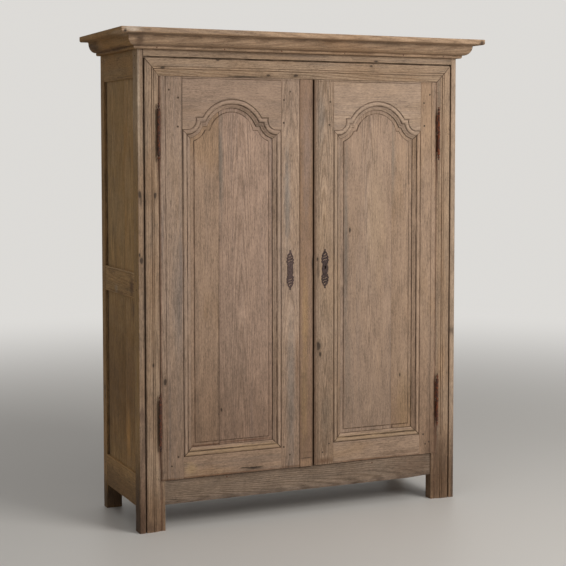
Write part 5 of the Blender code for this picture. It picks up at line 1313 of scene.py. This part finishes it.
hinge = {"x": 0.6185, "y": -0.201, "lower": 0.428, "upper": 1.5550, "radius": 0.0058, "knuckle": 0.085,
         "finial": 0.0275, "gap": 0.0003, "pin": 0.0032, "bore": 0.0036, "pinLength": 0.070,
         "leaf": 0.0022, "leafEnd": 0.008, "leafRear": -0.167, "doorFace": 0.6131, "postFace": 0.6144}
finialShape = ((1.0, 0.0), (1.22, 0.03), (1.24, 0.10), (1.05, 0.15), (0.66, 0.20), (0.52, 0.30),
               (0.60, 0.38), (0.92, 0.48), (1.0, 0.56), (0.90, 0.64), (0.60, 0.71), (0.42, 0.76),
               (0.46, 0.80), (0.66, 0.86), (0.70, 0.91), (0.54, 0.96), (0.28, 0.99), (0.0, 1.0))


def makeHinge(word, side, level, seed):
    h = hinge
    radius = h["radius"] if side < 0 else h["radius"] - 0.0008
    start, count = h["gap"] + 0.0006, 18
    outer = [(radius * 1.05, h["gap"])]
    outer += [(radius * (1.16 if i < 2 else 1.0 + 0.03 * sin(i * 1.7 + seed)),
               start + (h["knuckle"] - h["gap"] - 0.0006) * i / count) for i in range(count)]
    outer += [(radius * r, h["knuckle"] + z * h["finial"] * 0.98) for r, z in finialShape]
    boreEnd = h["pinLength"] + 0.002
    pin = [(0.0, h["pinLength"]), (h["pin"] - 0.001, h["pinLength"]), (h["pin"], h["pinLength"] - 0.001),
           (h["pin"], -h["gap"])] + [(r, -z) for r, z in outer]
    barrel = [(0.0, boreEnd), (h["bore"], boreEnd), (h["bore"], h["gap"])] + outer
    for half, up, profile, face in (("pin_half", -1, pin, h["postFace"]),
                                    ("door_half", 1, barrel, h["doorFace"])):
        low, high = sorted((up * h["leafEnd"], up * (h["knuckle"] - h["leafEnd"])))

        def fill(bm):
            addTurned(bm, profile, (side * h["x"], h["y"], h[level]), 24)
            blocks(bm, [((side * face, h["y"], h[level] + low), (
                side * face - up * side * h["leaf"] * 0.95, h["leafRear"], h[level] + high))], 0.0005, 0.01)

        makeForged(f"{word}_{level}_hinge_{half}", fill, rustyIron if side < 0 else brightRust, 0.0005, 210.0,
                   seed + up, 50.0)


for word, side in sides:
    for level, seed in (("lower", 9.0), ("upper", 16.0)):
        makeHinge(word, side, level, seed + 7.0 * side)

# Escutcheons: an oval plate with two crossing strips above and below it, and a nail at each end
plate = {"front": -0.1933, "back": -0.1913, "z": 1.004, "half": 0.0805, "oval": 0.0135,
         "ovalTop": 0.031, "ovalFoot": 0.033, "strip": 0.0033, "nail": 0.0036, "keyRise": 0.0050}


def addRibbon(bm, points, widths, front):
    back, rows = plate["back"], []
    for i, (x, z) in enumerate(points):
        ahead = Vector(points[min(i + 1, len(points) - 1)]) - Vector(points[max(i - 1, 0)])
        across = Vector((-ahead.y, ahead.x)).normalized() * widths[i]
        rows.append([bm.verts.new((x + across.x * k, y, z + across.y * k)) for k, y in (
            (-1.0, back), (-1.0, front + 0.0008), (-0.5, front + 0.0002), (0.0, front), (0.5, front + 0.0002),
            (1.0, front + 0.0008), (1.0, back))])
    capped(bm, rows)


def makeEscutcheon(word, x, hasKeyhole, finish, seed):
    p = plate
    front, back, z, strip = p["front"], p["back"], p["z"], p["strip"]

    def addOval(bm, count=48):
        oval, hole = [], []
        for i in range(count):
            turn = 2 * pi * i / count
            rise = p["ovalTop" if sin(turn) > 0 else "ovalFoot"]
            slot = 0.0036 if sin(turn) > -0.2 else 0.0026
            wave = 1.0 + 0.05 * cos(6 * turn + seed)
            oval.append((p["oval"] * cos(turn) * wave, rise * sin(turn)))
            hole.append((slot * cos(turn) + 0.0008, 0.0078 * sin(turn) + p["keyRise"]))
        shapes = [(oval, 1.0, 1.0, back), (oval, 1.0, 1.0, front + 0.0008),
                  (oval, 0.93, 0.93, front + 0.0003), (oval, 0.80, 0.80, front)]
        if hasKeyhole:
            shapes += [(hole, 1.12, 1.03, front), (hole, 1.0, 1.0, front + 0.0003), (hole, 1.0, 1.0, back)]
        rings = [[bm.verts.new((x + u * wide, y, z + v * tall)) for u, v in outline]
                 for outline, wide, tall, y in shapes]
        if hasKeyhole:
            bridge(bm, rings + rings[:1])
        else:
            bridge(bm, rings)
            bm.faces.new(rings[0])
            bm.faces.new(rings[-1])

    def addStrips(bm, direction, start):
        spread = [(0.0086 + 0.0036 * min(1.0, i / 7)) * cos(pi / 2 * (i / 40) ** 2.2) + 0.0006
                  for i in range(41)]
        rise = [start - 0.010 + (p["half"] - start + 0.001 + 0.001) * i / 40 for i in range(41)]
        for phase in (1, -1):
            wavy = [w * (1.0 + 0.13 * sin(i * 0.62 + 1.6 * phase + seed)) - 0.0004
                    for i, w in enumerate(spread)]
            addRibbon(bm, [(x + phase * w, z + direction * h) for w, h in zip(wavy, rise)],
                      [strip * (1.0 - 0.4 * i / 40) for i in range(41)], front)
        for bar in range(4):
            low, high = 2 + bar * 8, min(15 + bar * 8, 40)
            a, b = (-direction * spread[low], rise[low]), (direction * spread[high], rise[high])
            bent = [(x + a[0] + (b[0] - a[0]) * t,
                     z + direction * (a[1] + (b[1] - a[1]) * (t + 0.16 * sin(2 * pi * t))))
                    for t in [i / 14 for i in range(15)]]
            addRibbon(bm, bent, [strip * (0.75 + 0.50 * sin(pi * i / 14)) for i in range(15)], front + 0.0002)

    def addNail(bm, direction):
        tip = z + direction * (p["half"] - p["nail"] - 0.0001)
        rings = [[bm.verts.new((x + r * cos(pi * k / 7), front + d, tip + r * sin(pi * k / 7)))
                  for k in range(14)] for r, d in ((0.0026, 0.0001), (0.0036, 0.0006), (0.0036, 0.0019))]
        bridge(bm, rings)
        bm.faces.new(rings[0])
        bm.faces.new(rings[-1])

    def fill(bm):
        addOval(bm)
        for direction, start in ((1, p["ovalTop"]), (-1, p["ovalFoot"])):
            addStrips(bm, direction, start)
            addNail(bm, direction)

    makeForged(word + "_escutcheon", fill, finish, 0.00025, 320.0, seed, 40.0)


makeEscutcheon("left", -0.062, False, wornIron, 3.0)
makeEscutcheon("right", 0.0935, True, darkIron, 6.0)


# Lock and bolts: the CAD's own forms with broken edges and a forged skin
def makeRefined(node, finish, seed):
    def fill(bm):
        bm.from_mesh(frame["nodes"][node].data)
        bmesh.ops.remove_doubles(bm, verts=bm.verts, dist=1e-6)
        bmesh.ops.dissolve_limit(bm, angle_limit=radians(1.0), verts=bm.verts, edges=bm.edges)
        sharp = [edge for edge in bm.edges if edge.is_manifold and edge.calc_face_angle(0.0) > radians(40)]
        bmesh.ops.bevel(bm, geom=sharp, offset=0.0007, segments=2, profile=0.6, affect="EDGES",
                        clamp_overlap=True)

    makeForged(node, fill, finish, 0.0002, 180.0, seed, 35.0)


for index, node in enumerate(sorted(frame["nodes"])):
    if node.startswith(("lock_", "upper_bolt", "lower_bolt")):
        makeRefined(node, rustyIron if slotOf[node] == "rusty_iron" else wornIron, 30.0 + index)

# Pegs and nails
print("pegs")


def headRow(name, places, facing, radius, proud, sideCount, finish, seed):
    mesh = bpy.data.meshes.new(name)
    mesh.from_pydata(places, [], [])
    return runTree(newObject(name, mesh), heads, {
        "Radius": radius, "Proud": proud, "Sunk": 0.003, "Sides": sideCount, "Facing": facing, "Seed": seed,
        "Finish": finish})


faceFront, faceBack = (pi / 2, 0.0, 0.0), (-pi / 2, 0.0, 0.0)
pegs = {"left": [(-0.5735, 1.7176), (-0.5358, 1.6879), (-0.5375, 1.5766), (-0.0888, 1.6851),
                 (-0.0897, 1.5943), (-0.0621, 1.719), (-0.569, 0.2521), (-0.5416, 0.2866), (-0.0905, 0.286),
                 (-0.0638, 0.2521)],
        "right": [(0.1167, 1.6809), (0.1133, 1.588), (0.58, 1.717), (0.5522, 1.6819), (0.5547, 1.5867),
                  (0.1123, 0.2823), (0.0832, 0.2489), (0.584, 0.2486), (0.567, 0.2407), (0.5565, 0.2827)]}
for word, places in pegs.items():
    row = headRow(word + "DoorPegs", [(x, doorFrame["face"], z) for x, z in places], faceFront, 0.0046,
                  0.0005, 9, oak["peg"], len(places))
    settle(row, body=word + "_door", slot="door_oak", angle=35.0)
lockNails = {"x": (0.0575, 0.1395), "z": (0.958, 1.050), "face": -0.1427, "extra": (0.1330, 1.004)}
boltNails = {"x": (-0.0722, -0.0518), "z": (1.691, 1.715, 0.2515, 0.2755), "face": -0.1607}
for name, row, radius, proud, sideCount, seed, body in (
        ("lockNails", lockNails, 0.0034, 0.0009, 10, 41, "right_door"),
        ("boltNails", boltNails, 0.0017, 0.0006, 7, 43, "left_door")):
    places = [(x, row["face"], z) for x in row["x"] for z in row["z"]]
    if "extra" in row:
        places.append((row["extra"][0], row["face"], row["extra"][1]))
    settle(headRow(name, places, faceBack, radius, proud, sideCount, wornIron, seed), body=body,
           slot="rusty_iron", angle=35.0)
cornicePlaces = ((-0.629, 1.8760), (-0.352, 1.8765), (-0.109, 1.8763), (0.17, 1.8760), (0.44, 1.8764),
                 (0.63, 1.8761))
nailed = [headRow("frameNails", [(-0.3354, -0.183, 0.187), (0.3163, -0.183, 0.1817)], faceFront, 0.0036,
                  0.0006, 7, rustyIron, 3),
          headRow("corniceNails", [(x, -0.215, z) for x, z in cornicePlaces], faceFront, 0.0034, 0.0007, 6,
                  rustyIron, 4)]
sidePegs = ((-0.170, 1.80), (-0.168, 1.845), (-0.171, 0.948), (-0.169, 0.982), (-0.170, 0.135),
            (-0.168, 0.19), (0.262, 1.80), (0.260, 1.845), (0.261, 0.948), (0.262, 0.982), (0.261, 0.135),
            (0.262, 0.19))
for word, side in sides:
    facing = (0.0, side * pi / 2, 0.0)
    nailed.append(headRow("returnNails", [(side * 0.721, y, 1.8763) for y in (-0.10, 0.035, 0.17)], facing,
                          0.0026, 0.0007, 6, rustyIron, 5 + side))
    nailed.append(headRow("sidePegs", [(side * case["half"], y, z) for y, z in sidePegs], facing, 0.0038,
                          0.0004, 8, oak["peg"], 11 + side))
settle(joined("casePegsAndNails", nailed), body="case", slot="front_oak", angle=35.0)

# Studio
print("studio")
camera = {"lens": 88.354, "place": (-2.3555, -5.2714, 1.4862), "pitch": 86.5, "yaw": -24.5829,
          "shift": (-0.0249, -0.0849)}
lens = bpy.data.cameras.new("camera")
lens.lens, lens.sensor_width = camera["lens"], 36.0
lens.shift_x, lens.shift_y = camera["shift"]
viewer = newObject("camera", lens)
viewer.location = camera["place"]
viewer.rotation_euler = (radians(camera["pitch"]), 0.0, radians(camera["yaw"]))
bpy.context.scene.camera = viewer
bpy.context.scene.view_settings.view_transform = "Standard"


def addLamp(name, place, target, size, power, colour):
    lamp = bpy.data.lights.new(name, "AREA")
    lamp.shape, lamp.size, lamp.size_y, lamp.energy, lamp.color = "RECTANGLE", *size, power, colour
    obj = newObject(name, lamp)
    obj.location = place
    obj.rotation_euler = (Vector(target) - Vector(place)).to_track_quat("-Z", "Y").to_euler()


addLamp("keyLamp", (2.2, -4.0, 3.2), (0.0, -0.2, 1.05), (2.4, 2.2), 160.0, (1.0, 0.985, 0.96))
addLamp("topLamp", (-0.4, -1.4, 4.0), (0.0, 0.0, 1.2), (3.0, 2.0), 23.0, (1.0, 0.99, 0.97))

backdropTone = (0.72, 0.705, 0.68)
world = bpy.data.worlds.new("studioWorld")
bpy.context.scene.world = world
world.use_nodes = True
net = Net(world.node_tree)
paths = net.add("ShaderNodeLightPath", output=None)
seen = net.calc("MAXIMUM", paths["Is Camera Ray"], paths["Is Glossy Ray"])
seen = net.calc("MAXIMUM", seen, paths["Is Transmission Ray"])
net.feed(net.tree.nodes["Background"].inputs["Color"], net.blend(seen, (0.250, 0.245, 0.240), backdropTone))

floorMesh = bpy.data.meshes.new("floor")
floorMesh.from_pydata([(-30, -30, 0), (30, -30, 0), (30, 30, 0), (-30, 30, 0)], [], [(0, 1, 2, 3)])
floor = newObject("floor", floorMesh)
floorFinish, net, place = newFinish("floorFinish")
shader = net.tree.nodes["Principled BSDF"]
shader.inputs["Base Color"].default_value = (0.62, 0.60, 0.57, 1.0)
shader.inputs["Roughness"].default_value = 0.5
fade = net.mul(net.ramp(net.length(place), 1.8, 7.0), net.add("ShaderNodeLightPath", output="Is Camera Ray"))
glow = net.add("ShaderNodeEmission", {"Color": backdropTone, "Strength": 1.0})
mixed = net.add("ShaderNodeMixShader", {0: fade, 1: shader.outputs[0], 2: glow})
net.feed(net.tree.nodes["Material Output"].inputs["Surface"], mixed)
floor.data.materials.append(floorFinish)

bpy.context.view_layer.update()
